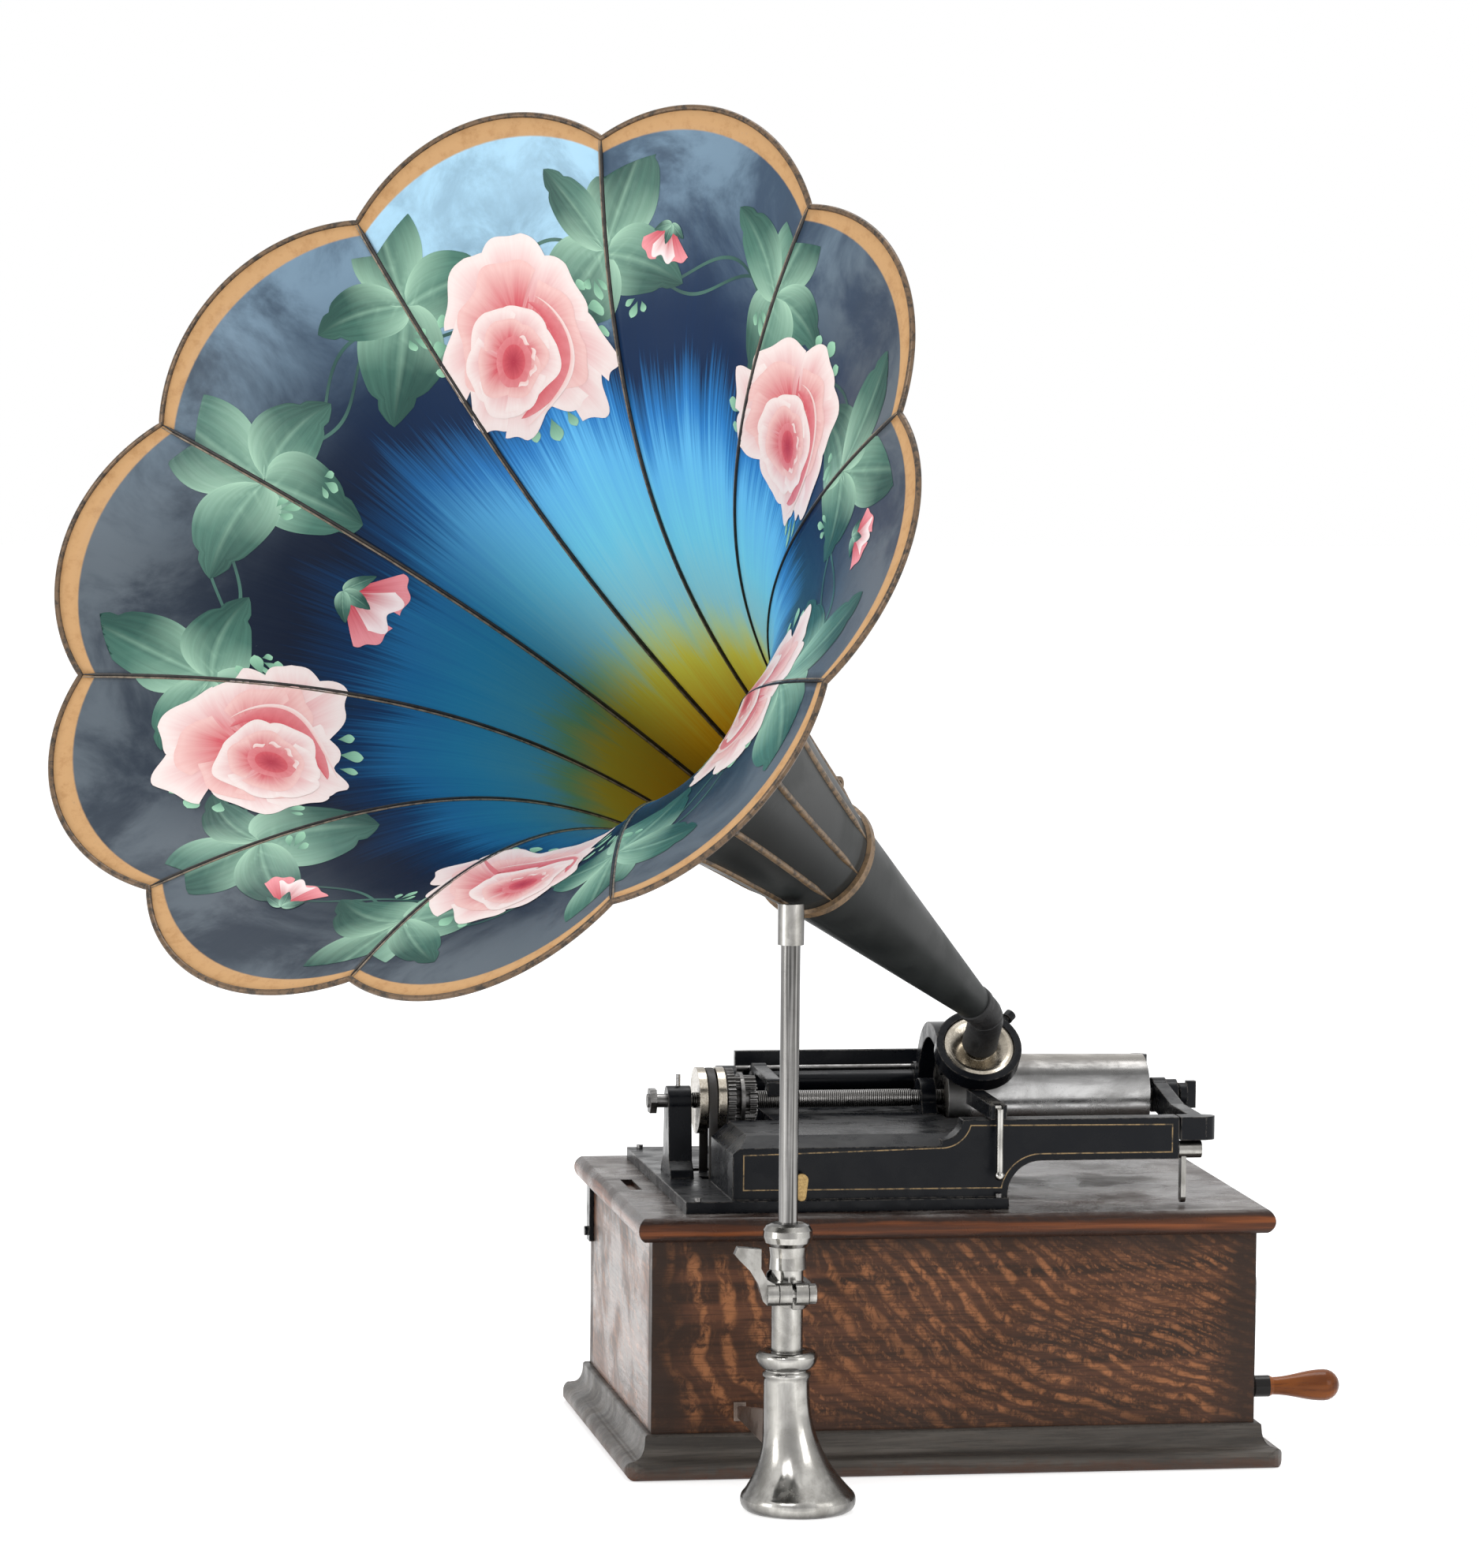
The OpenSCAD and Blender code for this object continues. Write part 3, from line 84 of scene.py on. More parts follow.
class Graph:
    """Adds and links the nodes of one shader tree."""

    def __init__(self, tree: bpy.types.NodeTree) -> None:
        """Keeps the tree that is worked on."""
        self.tree = tree

    def feed(self, socket: Socket, value: Value) -> None:
        """Links a socket, or sets its plain value.

        Args:
            socket: The input to feed.
            value: Another node's output, a number or a colour.
        """
        if isinstance(value, bpy.types.NodeSocket):
            self.tree.links.new(value, socket)
        elif socket.type == "RGBA":
            socket.default_value = (*value, 1.0)
        else:
            socket.default_value = value

    def add(self, kind: str, inputs: Optional[dict] = None, **settings) -> bpy.types.Node:
        """Adds a node.

        Args:
            kind: The node's type.
            inputs: Values or links for its inputs, by name or number.
            **settings: The node's own settings.

        Returns:
            The new node.
        """
        node = self.tree.nodes.new(kind)
        for key, value in settings.items():
            setattr(node, key, value)
        for key, value in (inputs or {}).items():
            self.feed(node.inputs[key], value)
        return node

    def math(self, operation: str, a: Value, b: Value = 0.0, clamp: bool = False) -> Socket:
        """Returns the result of one sum on two values."""
        node = self.add("ShaderNodeMath", {0: a, 1: b}, operation=operation, use_clamp=clamp)
        return node.outputs[0]

    def plus(self, a: Value, b: Value, clamp: bool = False) -> Socket:
        """Returns the sum of two values."""
        return self.math("ADD", a, b, clamp)

    def minus(self, a: Value, b: Value) -> Socket:
        """Returns the first value less the second."""
        return self.math("SUBTRACT", a, b)

    def times(self, a: Value, b: Value, clamp: bool = False) -> Socket:
        """Returns the product of two values."""
        return self.math("MULTIPLY", a, b, clamp)

    def most(self, a: Value, b: Value) -> Socket:
        """Returns the larger of two values."""
        return self.math("MAXIMUM", a, b)

    def sway(self, noise: Socket, reach: float) -> Socket:
        """Returns noise as a swing about 0."""
        return self.times(self.minus(noise, 0.5), reach)

    def axes(self, vector: Optional[Socket] = None) -> tuple[Socket, ...]:
        """Returns x, y and z of a vector, or of the object coordinates."""
        node = self.add("ShaderNodeSeparateXYZ", {0: self.place() if vector is None else vector})
        return tuple(node.outputs)

    def mix(self, factor: Value, a: Value, b: Value, blend: str = "MIX") -> Socket:
        """Turns one colour into another.

        Args:
            factor: Share of the second colour.
            a: The first colour.
            b: The second colour.
            blend: How the second is laid over the first.

        Returns:
            The mixed colour.
        """
        node = self.add("ShaderNodeMix", data_type="RGBA", blend_type=blend)
        for index, value in ((0, factor), (6, a), (7, b)):
            self.feed(node.inputs[index], value)
        return node.outputs[2]

    def band(self, value: Value, low: float, high: float, start: float = 0.0, end: float = 1.0) -> Socket:
        """Steps smoothly from start to end while a value goes from low to high.

        Args:
            value: The value.
            low: Where the step begins.
            high: Where it is done.
            start: The result before it.
            end: The result after it.

        Returns:
            The result.
        """
        node = self.add("ShaderNodeMapRange", {"Value": value, "From Min": low, "From Max": high,
                                               "To Min": start, "To Max": end},
                        interpolation_type="SMOOTHSTEP")
        return node.outputs["Result"]

    def noise(self, vector: Socket, scale: float, detail: float = 4.0, rough: float = 0.55,
              warp: float = 0.0) -> Socket:
        """Makes fractal noise, mostly between 0.3 and 0.7.

        Args:
            vector: Coordinates that it is read at.
            scale: Its scale.
            detail: Number of octaves.
            rough: Share of each finer octave.
            warp: How far it is distorted.

        Returns:
            The noise.
        """
        node = self.add("ShaderNodeTexNoise", {"Vector": vector, "Scale": scale, "Detail": detail,
                                               "Roughness": rough, "Distortion": warp})
        return node.outputs["Fac"]

    def place(self, turn: Sequence[float] = (0, 0, 0), stretch: Sequence[float] = (1, 1, 1),
              shift: Sequence[float] = (0, 0, 0), source: Optional[Socket] = None) -> Socket:
        """Turns, shifts and stretches coordinates, in that order.

        Args:
            turn: Angles about x, y and z in degrees.
            stretch: Factors along x, y and z.
            shift: Distances along x, y and z.
            source: The coordinates, or none for the object's own.

        Returns:
            The new coordinates.
        """
        if source is None:
            source = self.add("ShaderNodeTexCoord").outputs["Object"]
        moved = self.add("ShaderNodeMapping", {"Vector": source, "Location": tuple(shift),
                                               "Rotation": tuple(np.deg2rad(turn))})
        node = self.add("ShaderNodeVectorMath", {0: moved.outputs[0], 1: tuple(stretch)},
                        operation="MULTIPLY")
        return node.outputs[0]

    def ramp(self, value: Socket, stops: Sequence[tuple[float, Colour]]) -> Socket:
        """Picks a colour from a row of stops.

        Args:
            value: Place on the row, from 0 to 1.
            stops: Places and their colours.

        Returns:
            The colour.
        """
        node = self.add("ShaderNodeValToRGB", {"Fac": value})
        row = node.color_ramp.elements
        while len(row) < len(stops):
            row.new(0.5)
        for element, (place, colour) in zip(row, stops):
            element.position = place
            element.color = (*colour, 1.0)
        return node.outputs["Color"]

    def bump(self, height: Socket, distance: float, strength: float = 1.0,
             normal: Optional[Socket] = None) -> Socket:
        """Shows a height as a normal.

        Args:
            height: The height, from 0 to 1.
            distance: Full height in metres.
            strength: Share of it that shows.
            normal: Normal to start from, or none for the surface's own.

        Returns:
            The normal.
        """
        inputs = {"Height": height, "Distance": distance, "Strength": strength}
        if normal is not None:
            inputs["Normal"] = normal
        return self.add("ShaderNodeBump", inputs).outputs["Normal"]

    def group(self, tree: bpy.types.NodeTree, **inputs: Value) -> bpy.types.NodeOutputs:
        """Places a shared effect.

        Args:
            tree: The effect's node group.
            **inputs: Its inputs, with spaces in their names written as underscores.

        Returns:
            The group's outputs.
        """
        node = self.add("ShaderNodeGroup", node_tree=tree)
        for key, value in inputs.items():
            self.feed(node.inputs[key.replace("_", " ")], value)
        return node.outputs


class Effects:
    """Shader node groups that several finishes share, each built once."""

    def __init__(self) -> None:
        """Builds the groups."""
        self.edges = self._edges()
        self.smudge = self._smudge()
        self.dust_and_sheen = self._dust_and_sheen()
        self.oak = self._oak()

    @staticmethod
    def _start(name: str, inputs: dict, outputs: dict) -> tuple[Graph, dict, dict]:
        """Makes an empty group.

        Args:
            name: The group's name.
            inputs: Socket type and default of each input.
            outputs: Socket type of each output.

        Returns:
            The graph, the input sockets and the output sockets by name.
        """
        tree = bpy.data.node_groups.new(name, "ShaderNodeTree")
        for key, (kind, default) in inputs.items():
            socket = tree.interface.new_socket(key, in_out="INPUT", socket_type=kind)
            if default is not None:
                socket.default_value = default
        for key, kind in outputs.items():
            tree.interface.new_socket(key, in_out="OUTPUT", socket_type=kind)
        graph = Graph(tree)
        ins = graph.add("NodeGroupInput").outputs
        outs = graph.add("NodeGroupOutput").inputs
        return graph, {k: ins[k] for k in inputs}, {k: outs[k] for k in outputs}

    def _edges(self) -> bpy.types.NodeTree:
        """Rounded edges: a softened normal, and a ragged mask where it leaves the true one.

        Returns:
            The group's node tree.
        """
        g, i, o = self._start("rounded_edges", {"Radius": ("NodeSocketFloat", 0.0006)},
                              {"Mask": "NodeSocketFloat", "Normal": "NodeSocketVector"})
        soft = g.add("ShaderNodeBevel", {"Radius": i["Radius"]}, samples=4).outputs["Normal"]
        true = g.add("ShaderNodeNewGeometry").outputs["Normal"]
        dot = g.add("ShaderNodeVectorMath", {0: soft, 1: true}, operation="DOT_PRODUCT").outputs["Value"]
        ragged = g.noise(g.place(), scale=340.0, detail=5.0, rough=0.7)
        away = g.times(g.minus(1.0, dot), g.band(ragged, 0.42, 0.62))
        g.feed(o["Mask"], g.band(away, 0.02, 0.12))
        g.feed(o["Normal"], soft)
        return g.tree

    def _smudge(self) -> bpy.types.NodeTree:
        """Handling marks: broad clouds with fine specks in them, from 0 to 1.

        Returns:
            The group's node tree.
        """
        g, i, o = self._start("smudges", {"Scale": ("NodeSocketFloat", 40.0)}, {"Mask": "NodeSocketFloat"})
        place = g.place()
        cloud = g.band(g.noise(place, scale=i["Scale"], detail=6.0, rough=0.6, warp=0.4), 0.36, 0.68)
        speck = g.band(g.noise(place, scale=900.0, detail=2.0), 0.62, 0.78, 0.0, 0.35)
        g.feed(o["Mask"], g.plus(cloud, speck, clamp=True))
        return g.tree

    def _dust_and_sheen(self) -> bpy.types.NodeTree:
        """Dust and scuffs on faces that look up, also standing in for a painted sheen on them.

        Returns:
            The group's node tree.
        """
        g, i, o = self._start("dust_and_sheen", {"Amount": ("NodeSocketFloat", 1.0)}, {"Mask": "NodeSocketFloat"})
        normal = g.add("ShaderNodeNewGeometry").outputs["Normal"]
        up = g.band(g.axes(normal)[2], 0.55, 0.98)
        clouds = g.noise(g.place(stretch=(0.5, 1, 1)), scale=55.0, detail=7.0, rough=0.68, warp=0.6)
        clouds = g.band(clouds, 0.38, 0.72)
        g.feed(o["Mask"], g.times(g.times(up, clouds), i["Amount"]))
        return g.tree

    def _oak(self) -> bpy.types.NodeTree:
        """Quarter-sawn oak with its grain along the vector's x.

        Pores are long fine noise, growth is broad bands, and ray flakes are rows of dashes whose lean grows
        along the board.

        Returns:
            The group's node tree.
        """
        g, i, o = self._start("quarter_oak", {"Vector": ("NodeSocketVector", None),
                                              "Flake": ("NodeSocketFloat", 1.0)},
                              {key: "NodeSocketFloat" for key in ("Tone", "Flake", "Pore")})

        def drawn(along: float, across: float, *noise: float) -> Socket:
            """Returns noise drawn out along the board."""
            return g.noise(g.place(stretch=(along, across, across), source=i["Vector"]), *noise)

        x, y, z = g.axes(i["Vector"])
        lean = g.times(g.plus(x, 0.16), g.plus(y, z))
        rows = g.plus(g.times(x, 84.0), g.times(lean, 560.0))
        rows = g.plus(rows, g.times(drawn(16, 22, 1.0, 3.0, 0.5), 3.6))
        wave = g.band(g.math("SINE", g.times(rows, TURN)), -0.35, 0.9)
        dash = g.band(drawn(150, 105, 1.0, 6.0, 0.72, 0.6), 0.40, 0.60)
        patch = drawn(11, 16, 1.0, 2.0)
        mark = g.times(g.times(wave, dash), g.band(patch, 0.34, 0.58, 0.35, 1.0))
        small = g.band(g.math("SINE", g.times(rows, 15.3)), -0.2, 0.9)
        speck = g.band(drawn(420, 260, 1.0, 4.0, 0.7, 0.4), 0.44, 0.62, 0.0, 0.62)
        fleck = g.times(g.times(small, speck), g.band(patch, 0.62, 0.40, 0.25, 1.0))
        g.feed(o["Tone"], drawn(3, 46, 1.6, 4.0, 0.6, 0.8))
        g.feed(o["Pore"], g.band(drawn(18, 420, 2.2, 5.0, 0.65), 0.46, 0.66))
        g.feed(o["Flake"], g.times(g.most(mark, fleck), i["Flake"], clamp=True))
        return g.tree


EFFECTS = Effects()


class Finish:
    """Base of the finishes: one material, made once, with one surface shader."""

    name: str

    @functools.cache
    def material(self) -> bpy.types.Material:
        """Makes the material, whose surface shader is fed by surface().

        Returns:
            The material, the same one at each call.
        """
        material = bpy.data.materials.new(self.name)
        material.use_nodes = True
        g = Graph(material.node_tree)
        shader = material.node_tree.nodes["Principled BSDF"]
        for socket, value in self.surface(g).items():
            g.feed(shader.inputs[socket], value)
        return material

    def surface(self, g: Graph) -> dict[str, Value]:
        """Returns what feeds the surface shader's inputs, by name."""
        raise NotImplementedError

    @staticmethod
    def smudge(g: Graph, scale: float) -> Socket:
        """Returns a mask of handling marks."""
        return g.group(EFFECTS.smudge, Scale=scale)["Mask"]


@dataclass(frozen=True)
class Oak(Finish):
    """Dark fumed oak under an old varnish."""

    name: str
    grain: Grain = Grain.ALONG_X
    deep: Colour = (0.022, 0.011, 0.008)
    mid: Colour = (0.080, 0.033, 0.018)
    flake: Colour = (0.300, 0.105, 0.034)
    flakes: float = 1.0
    grime: float = 0.5
    # share and colour of the dust on faces that look up, which also paints their sheen
    dust_and_sheen_share: float = 0.0
    dull: Colour = (0.335, 0.320, 0.305)
    bordered: float = 0.0
    gloss: float = 0.17
    varnish: float = 0.05
    nose: float = 0.0
    nose_brown: Colour = (0.090, 0.029, 0.012)
    nose_red: Colour = (0.260, 0.076, 0.022)
    chipped: float = 0.0
    roughness: float = 0.42
    shift: Vector = (0.0, 0.0, 0.0)
    dirt: Colour = (0.012, 0.008, 0.007)
    bare: Colour = (0.120, 0.050, 0.029)
    darker_ends: tuple[float, float] = (0.128, 0.146)
    darker_top: tuple[float, float] = (0.104, 0.117)
    darker_foot: tuple[float, float] = (0.022, 0.036)
    nose_band: tuple[float, float] = (0.0018, 0.0040)
    rubbed: tuple[float, float] = (0.0025, 0.0080)
    knocked: tuple[float, float] = (0.0004, 0.0016)

    def surface(self, g: Graph) -> dict[str, Value]:
        """Makes oak whose colour, sheen and relief follow the same grain.

        Args:
            g: The material's graph.

        Returns:
            What feeds the surface shader's inputs, by name.
        """
        oak = g.group(EFFECTS.oak, Vector=g.place(turn=self.grain.value, shift=self.shift), Flake=self.flakes)
        edge = g.group(EFFECTS.edges, Radius=0.0016)
        smudge = self.smudge(g, 22.0)
        colour = g.mix(g.band(oak["Tone"], 0.3, 0.7), self.deep, self.mid)
        colour = g.mix(oak["Flake"], colour, self.flake)
        colour = g.mix(g.times(oak["Pore"], 0.55), colour, self.deep)
        colour = g.mix(g.times(smudge, self.grime), colour, g.mix(0.5, colour, self.deep))
        if self.bordered:
            colour = g.mix(g.times(self.border(g), self.bordered), colour, self.deep)
        if self.nose:
            # nose: a red streak along its middle, partly worn wood and partly a painted highlight; away from it
            # the board is drawn darker, painted shade above and below the streak
            fiery = g.noise(g.place(stretch=(11, 11, 330), shift=(0.0, 0.0, 0.02)), scale=1.0, detail=3.0)
            worn = g.mix(g.band(fiery, 0.40, 0.70), self.nose_brown, self.nose_red)
            colour = g.mix(self.streak(g), g.mix(0.8, colour, self.deep), worn)
        # dust on faces that look up, partly a painted sheen on the board's top
        dust_and_sheen = g.group(EFFECTS.dust_and_sheen, Amount=self.dust_and_sheen_share)["Mask"]
        colour = g.mix(dust_and_sheen, colour, g.mix(g.times(oak["Pore"], 0.5), self.dull, self.mid))
        colour = g.mix(g.times(edge["Mask"], 0.8), colour, self.dirt)
        if self.chipped:
            colour = g.mix(self.chips(g), colour, self.bare)
        height = g.minus(g.times(oak["Flake"], 0.4), oak["Pore"])
        return {"Base Color": colour,
                "Roughness": g.band(smudge, 0.0, 1.0, self.roughness - 0.08, self.roughness + 0.12),
                "Normal": g.bump(height, distance=0.00012, strength=0.6, normal=edge["Normal"]),
                "Specular IOR Level": self.gloss, "Coat Weight": self.varnish, "Coat Roughness": 0.25}

    def border(self, g: Graph) -> Socket:
        """Masks the panel's ends, top and foot, which are drawn darker.

        Args:
            g: The material's graph.

        Returns:
            The mask, from 0 to 1.
        """
        x, _, z = g.axes()
        ragged = g.sway(g.noise(g.place(), scale=34.0, detail=4.0), 0.03)
        ends = g.band(g.plus(g.math("ABSOLUTE", x), ragged), *self.darker_ends)
        height = g.plus(z, ragged)
        top = g.band(height, *self.darker_top, 0.0, 0.9)
        foot = g.band(height, *self.darker_foot, 0.7, 0.0)
        return g.most(ends, g.most(top, foot))

    def streak(self, g: Graph) -> Socket:
        """Masks the red streak along the middle of a rounded nose, partly worn wood and partly a painted
        highlight.

        Args:
            g: The material's graph.

        Returns:
            The mask, from 0 to 1.
        """
        ragged = g.sway(g.noise(g.place(stretch=(14, 14, 60)), scale=1.0, detail=4.0, rough=0.6), 0.007)
        away = g.math("ABSOLUTE", g.minus(g.axes()[2], self.nose))
        return g.band(g.plus(away, ragged), *self.nose_band, 1.0, 0.0)

    def chips(self, g: Graph) -> Socket:
        """Masks the rubbed foot and its knocked lower edge, where bare wood shows.

        Args:
            g: The material's graph.

        Returns:
            The mask, from 0 to 1.
        """
        ragged = g.sway(g.noise(g.place(stretch=(0.5, 0.5, 1.0)), scale=150.0, detail=5.0, rough=0.7), 0.016)
        height = g.plus(g.axes()[2], ragged)
        foot = g.band(height, *self.rubbed, self.chipped * 0.55, 0.0)
        return g.most(foot, g.band(height, *self.knocked, self.chipped, 0.0))


@dataclass(frozen=True)
class Enamel(Finish):
    """Black japan on cast iron: dusting and painted sheen on its flats, bare iron and painted highlights at its
    edges.
    """

    name: str = "black_enamel"
    colour: Colour = (0.0045, 0.0055, 0.0080)
    # colour of the dust on flats that look up, partly a painted sheen on them
    dust_and_sheen: Colour = (0.070, 0.069, 0.068)
    # bare iron at worn edges, lightened so that it also paints highlights along the edges
    bare: Colour = (0.200, 0.178, 0.155)
    dust_and_sheen_amount: float = 0.15
    roughness: float = 0.20

    def surface(self, g: Graph) -> dict[str, Value]:
        """Makes glossy black with dusting and painted sheen on its flats, and worn edges with painted
        highlights.

        Args:
            g: The material's graph.

        Returns:
            What feeds the surface shader's inputs, by name.
        """
        edge = g.group(EFFECTS.edges, Radius=0.0011)
        # dust and painted sheen on flats that look up
        dust_and_sheen = g.group(EFFECTS.dust_and_sheen, Amount=self.dust_and_sheen_amount)["Mask"]
        colour = g.mix(dust_and_sheen, self.colour, self.dust_and_sheen)
        casting = g.noise(g.place(), scale=420.0, detail=3.0)
        shine = g.band(self.smudge(g, 60.0), 0.0, 1.0, self.roughness, self.roughness + 0.16)
        # worn edges: partly bare iron and partly painted edge highlights
        return {"Base Color": g.mix(g.times(edge["Mask"], 0.75), colour, self.bare),
                "Roughness": g.plus(shine, g.times(dust_and_sheen, 0.4), clamp=True),
                "Normal": g.bump(casting, distance=0.00006, strength=0.5, normal=edge["Normal"]),
                "Specular IOR Level": 0.16}


@dataclass(frozen=True)
class Metal(Finish):
    """Plated or bare metal with turning lines, tarnish and rubbed edges, and a painted reflection: light and
    dark bands laid on its colour by how squarely each face meets the view.
    """

    name: str
    colour: Colour
    tarnish: Colour
    roughness: float = 0.22
    spread: float = 0.18
    tarnished: float = 0.5
    lines: Vector = (900.0, 900.0, 900.0)
    streaks: float = 0.35
    # share of the painted reflection laid on the colour
    painted_reflection_share: float = 0.5
    relief: float = 0.00001
    rough_scale: float = 45.0
    # painted reflection: brightness by facing, standing in for studio reflections
    sheen: Stops = ((0.0, (0.52, 0.52, 0.53)), (0.09, (1.0, 1.0, 1.0)), (0.25, (0.70, 0.70, 0.70)),
                    (0.52, (0.26, 0.26, 0.27)), (1.0, (0.20, 0.20, 0.21)))

    def surface(self, g: Graph) -> dict[str, Value]:
        """Makes metal whose tarnish clouds also dull it, under a painted reflection by facing.

        Args:
            g: The material's graph.

        Returns:
            What feeds the surface shader's inputs, by name.
        """
        edge = g.group(EFFECTS.edges, Radius=0.0005)
        smudge = self.smudge(g, self.rough_scale)
        fine = g.noise(g.place(stretch=self.lines), scale=1.0, detail=4.0, rough=0.6)
        colour = g.mix(g.times(smudge, self.tarnished), self.colour, self.tarnish)
        colour = g.mix(g.band(fine, 0.38, 0.62, 0.0, self.streaks), colour, self.tarnish)
        colour = g.mix(g.times(edge["Mask"], 0.5), colour, self.colour)
        # painted reflection: the facing ramp multiplies the colour
        facing = g.add("ShaderNodeLayerWeight", {"Blend": 0.5}).outputs["Facing"]
        rough = g.band(smudge, 0.0, 1.0, self.roughness, self.roughness + self.spread)
        return {"Base Color": g.mix(self.painted_reflection_share, colour, g.ramp(facing, self.sheen), "MULTIPLY"),
                "Roughness": g.plus(rough, g.band(fine, 0.3, 0.7, -0.04, 0.06)),
                "Normal": g.bump(fine, distance=self.relief, strength=0.8, normal=edge["Normal"]),
                "Metallic": 1.0}


NICKEL = Metal("nickel", (0.60, 0.585, 0.55), (0.20, 0.19, 0.17), roughness=0.15, tarnished=0.6,
               lines=(160, 160, 30), painted_reflection_share=0.9, rough_scale=60.0)


@dataclass(frozen=True)
class Thread(Finish):
    """Steel shaft with a fine feed thread along x."""

    name: str = "feed_thread"
    colour: Colour = (0.34, 0.33, 0.32)
    groove: Colour = (0.030, 0.028, 0.025)
    threads_per_m: float = 980.0
    lean: float = 24.0

    def surface(self, g: Graph) -> dict[str, Value]:
        """Makes steel with thread lines almost square to the shaft.

        Args:
            g: The material's graph.

        Returns:
            What feeds the surface shader's inputs, by name.
        """
        x, y, _ = g.axes()
        ridge = g.math("SINE", g.plus(g.times(x, self.threads_per_m * TURN), g.times(y, self.lean)))
        return {"Base Color": g.mix(g.band(ridge, -0.9, 0.4), self.groove, self.colour),
                "Roughness": g.band(self.smudge(g, 70.0), 0.0, 1.0, 0.24, 0.42),
                "Normal": g.bump(ridge, distance=0.00025, strength=0.7), "Metallic": 1.0}


@dataclass(frozen=True)
class Turned(Finish):
    """Varnished turned hardwood."""

    name: str = "grip_wood"
    pale: Colour = (0.34, 0.098, 0.017)
    dark: Colour = (0.10, 0.025, 0.006)
    iron: Colour = (0.016, 0.014, 0.013)
    ferrule_end: float = 0.1805

    def surface(self, g: Graph) -> dict[str, Value]:
        """Makes glossy wood with fine grain along x, and dark iron on the ferrule.

        Args:
            g: The material's graph.

        Returns:
            What feeds the surface shader's inputs, by name.
        """
        wood = g.band(g.axes()[0], self.ferrule_end - 0.0002, self.ferrule_end + 0.0002)
        fine = g.noise(g.place(stretch=(40, 700, 700)), scale=1.0, detail=4.0, rough=0.6)
        broad = g.noise(g.place(stretch=(12, 60, 60)), scale=1.0, detail=3.0, rough=0.5, warp=0.6)
        edge = g.group(EFFECTS.edges, Radius=0.0008)
        colour = g.mix(g.band(broad, 0.36, 0.66), self.pale, self.dark)
        colour = g.mix(g.band(fine, 0.5, 0.72, 0.0, 0.6), colour, self.dark)
        return {"Base Color": g.mix(wood, self.iron, colour), "Roughness": g.band(fine, 0.3, 0.7, 0.2, 0.32),
                "Normal": g.bump(fine, distance=0.00006, strength=0.5, normal=edge["Normal"]),
                "Specular IOR Level": 0.1, "Coat Weight": 0.22, "Coat Roughness": 0.05}


@dataclass(frozen=True)
class Pliant(Finish):
    """Rubber or leather: dull, mottled and finely grained."""

    name: str
    colour: Colour
    worn: Colour
    grain: float = 900.0
    relief: float = 0.00012
    roughness: float = 0.5

    def surface(self, g: Graph) -> dict[str, Value]:
        """Makes a dull skin with fine grain and worn clouds.

        Args:
            g: The material's graph.

        Returns:
            What feeds the surface shader's inputs, by name.
        """
        smudge = self.smudge(g, 90.0)
        cells = g.add("ShaderNodeTexVoronoi", {"Vector": g.place(), "Scale": self.grain}).outputs["Distance"]
        return {"Base Color": g.mix(g.times(smudge, 0.7), self.colour, self.worn),
                "Roughness": g.band(smudge, 0.0, 1.0, self.roughness, self.roughness + 0.2),
                "Normal": g.bump(cells, distance=self.relief, strength=0.5)}


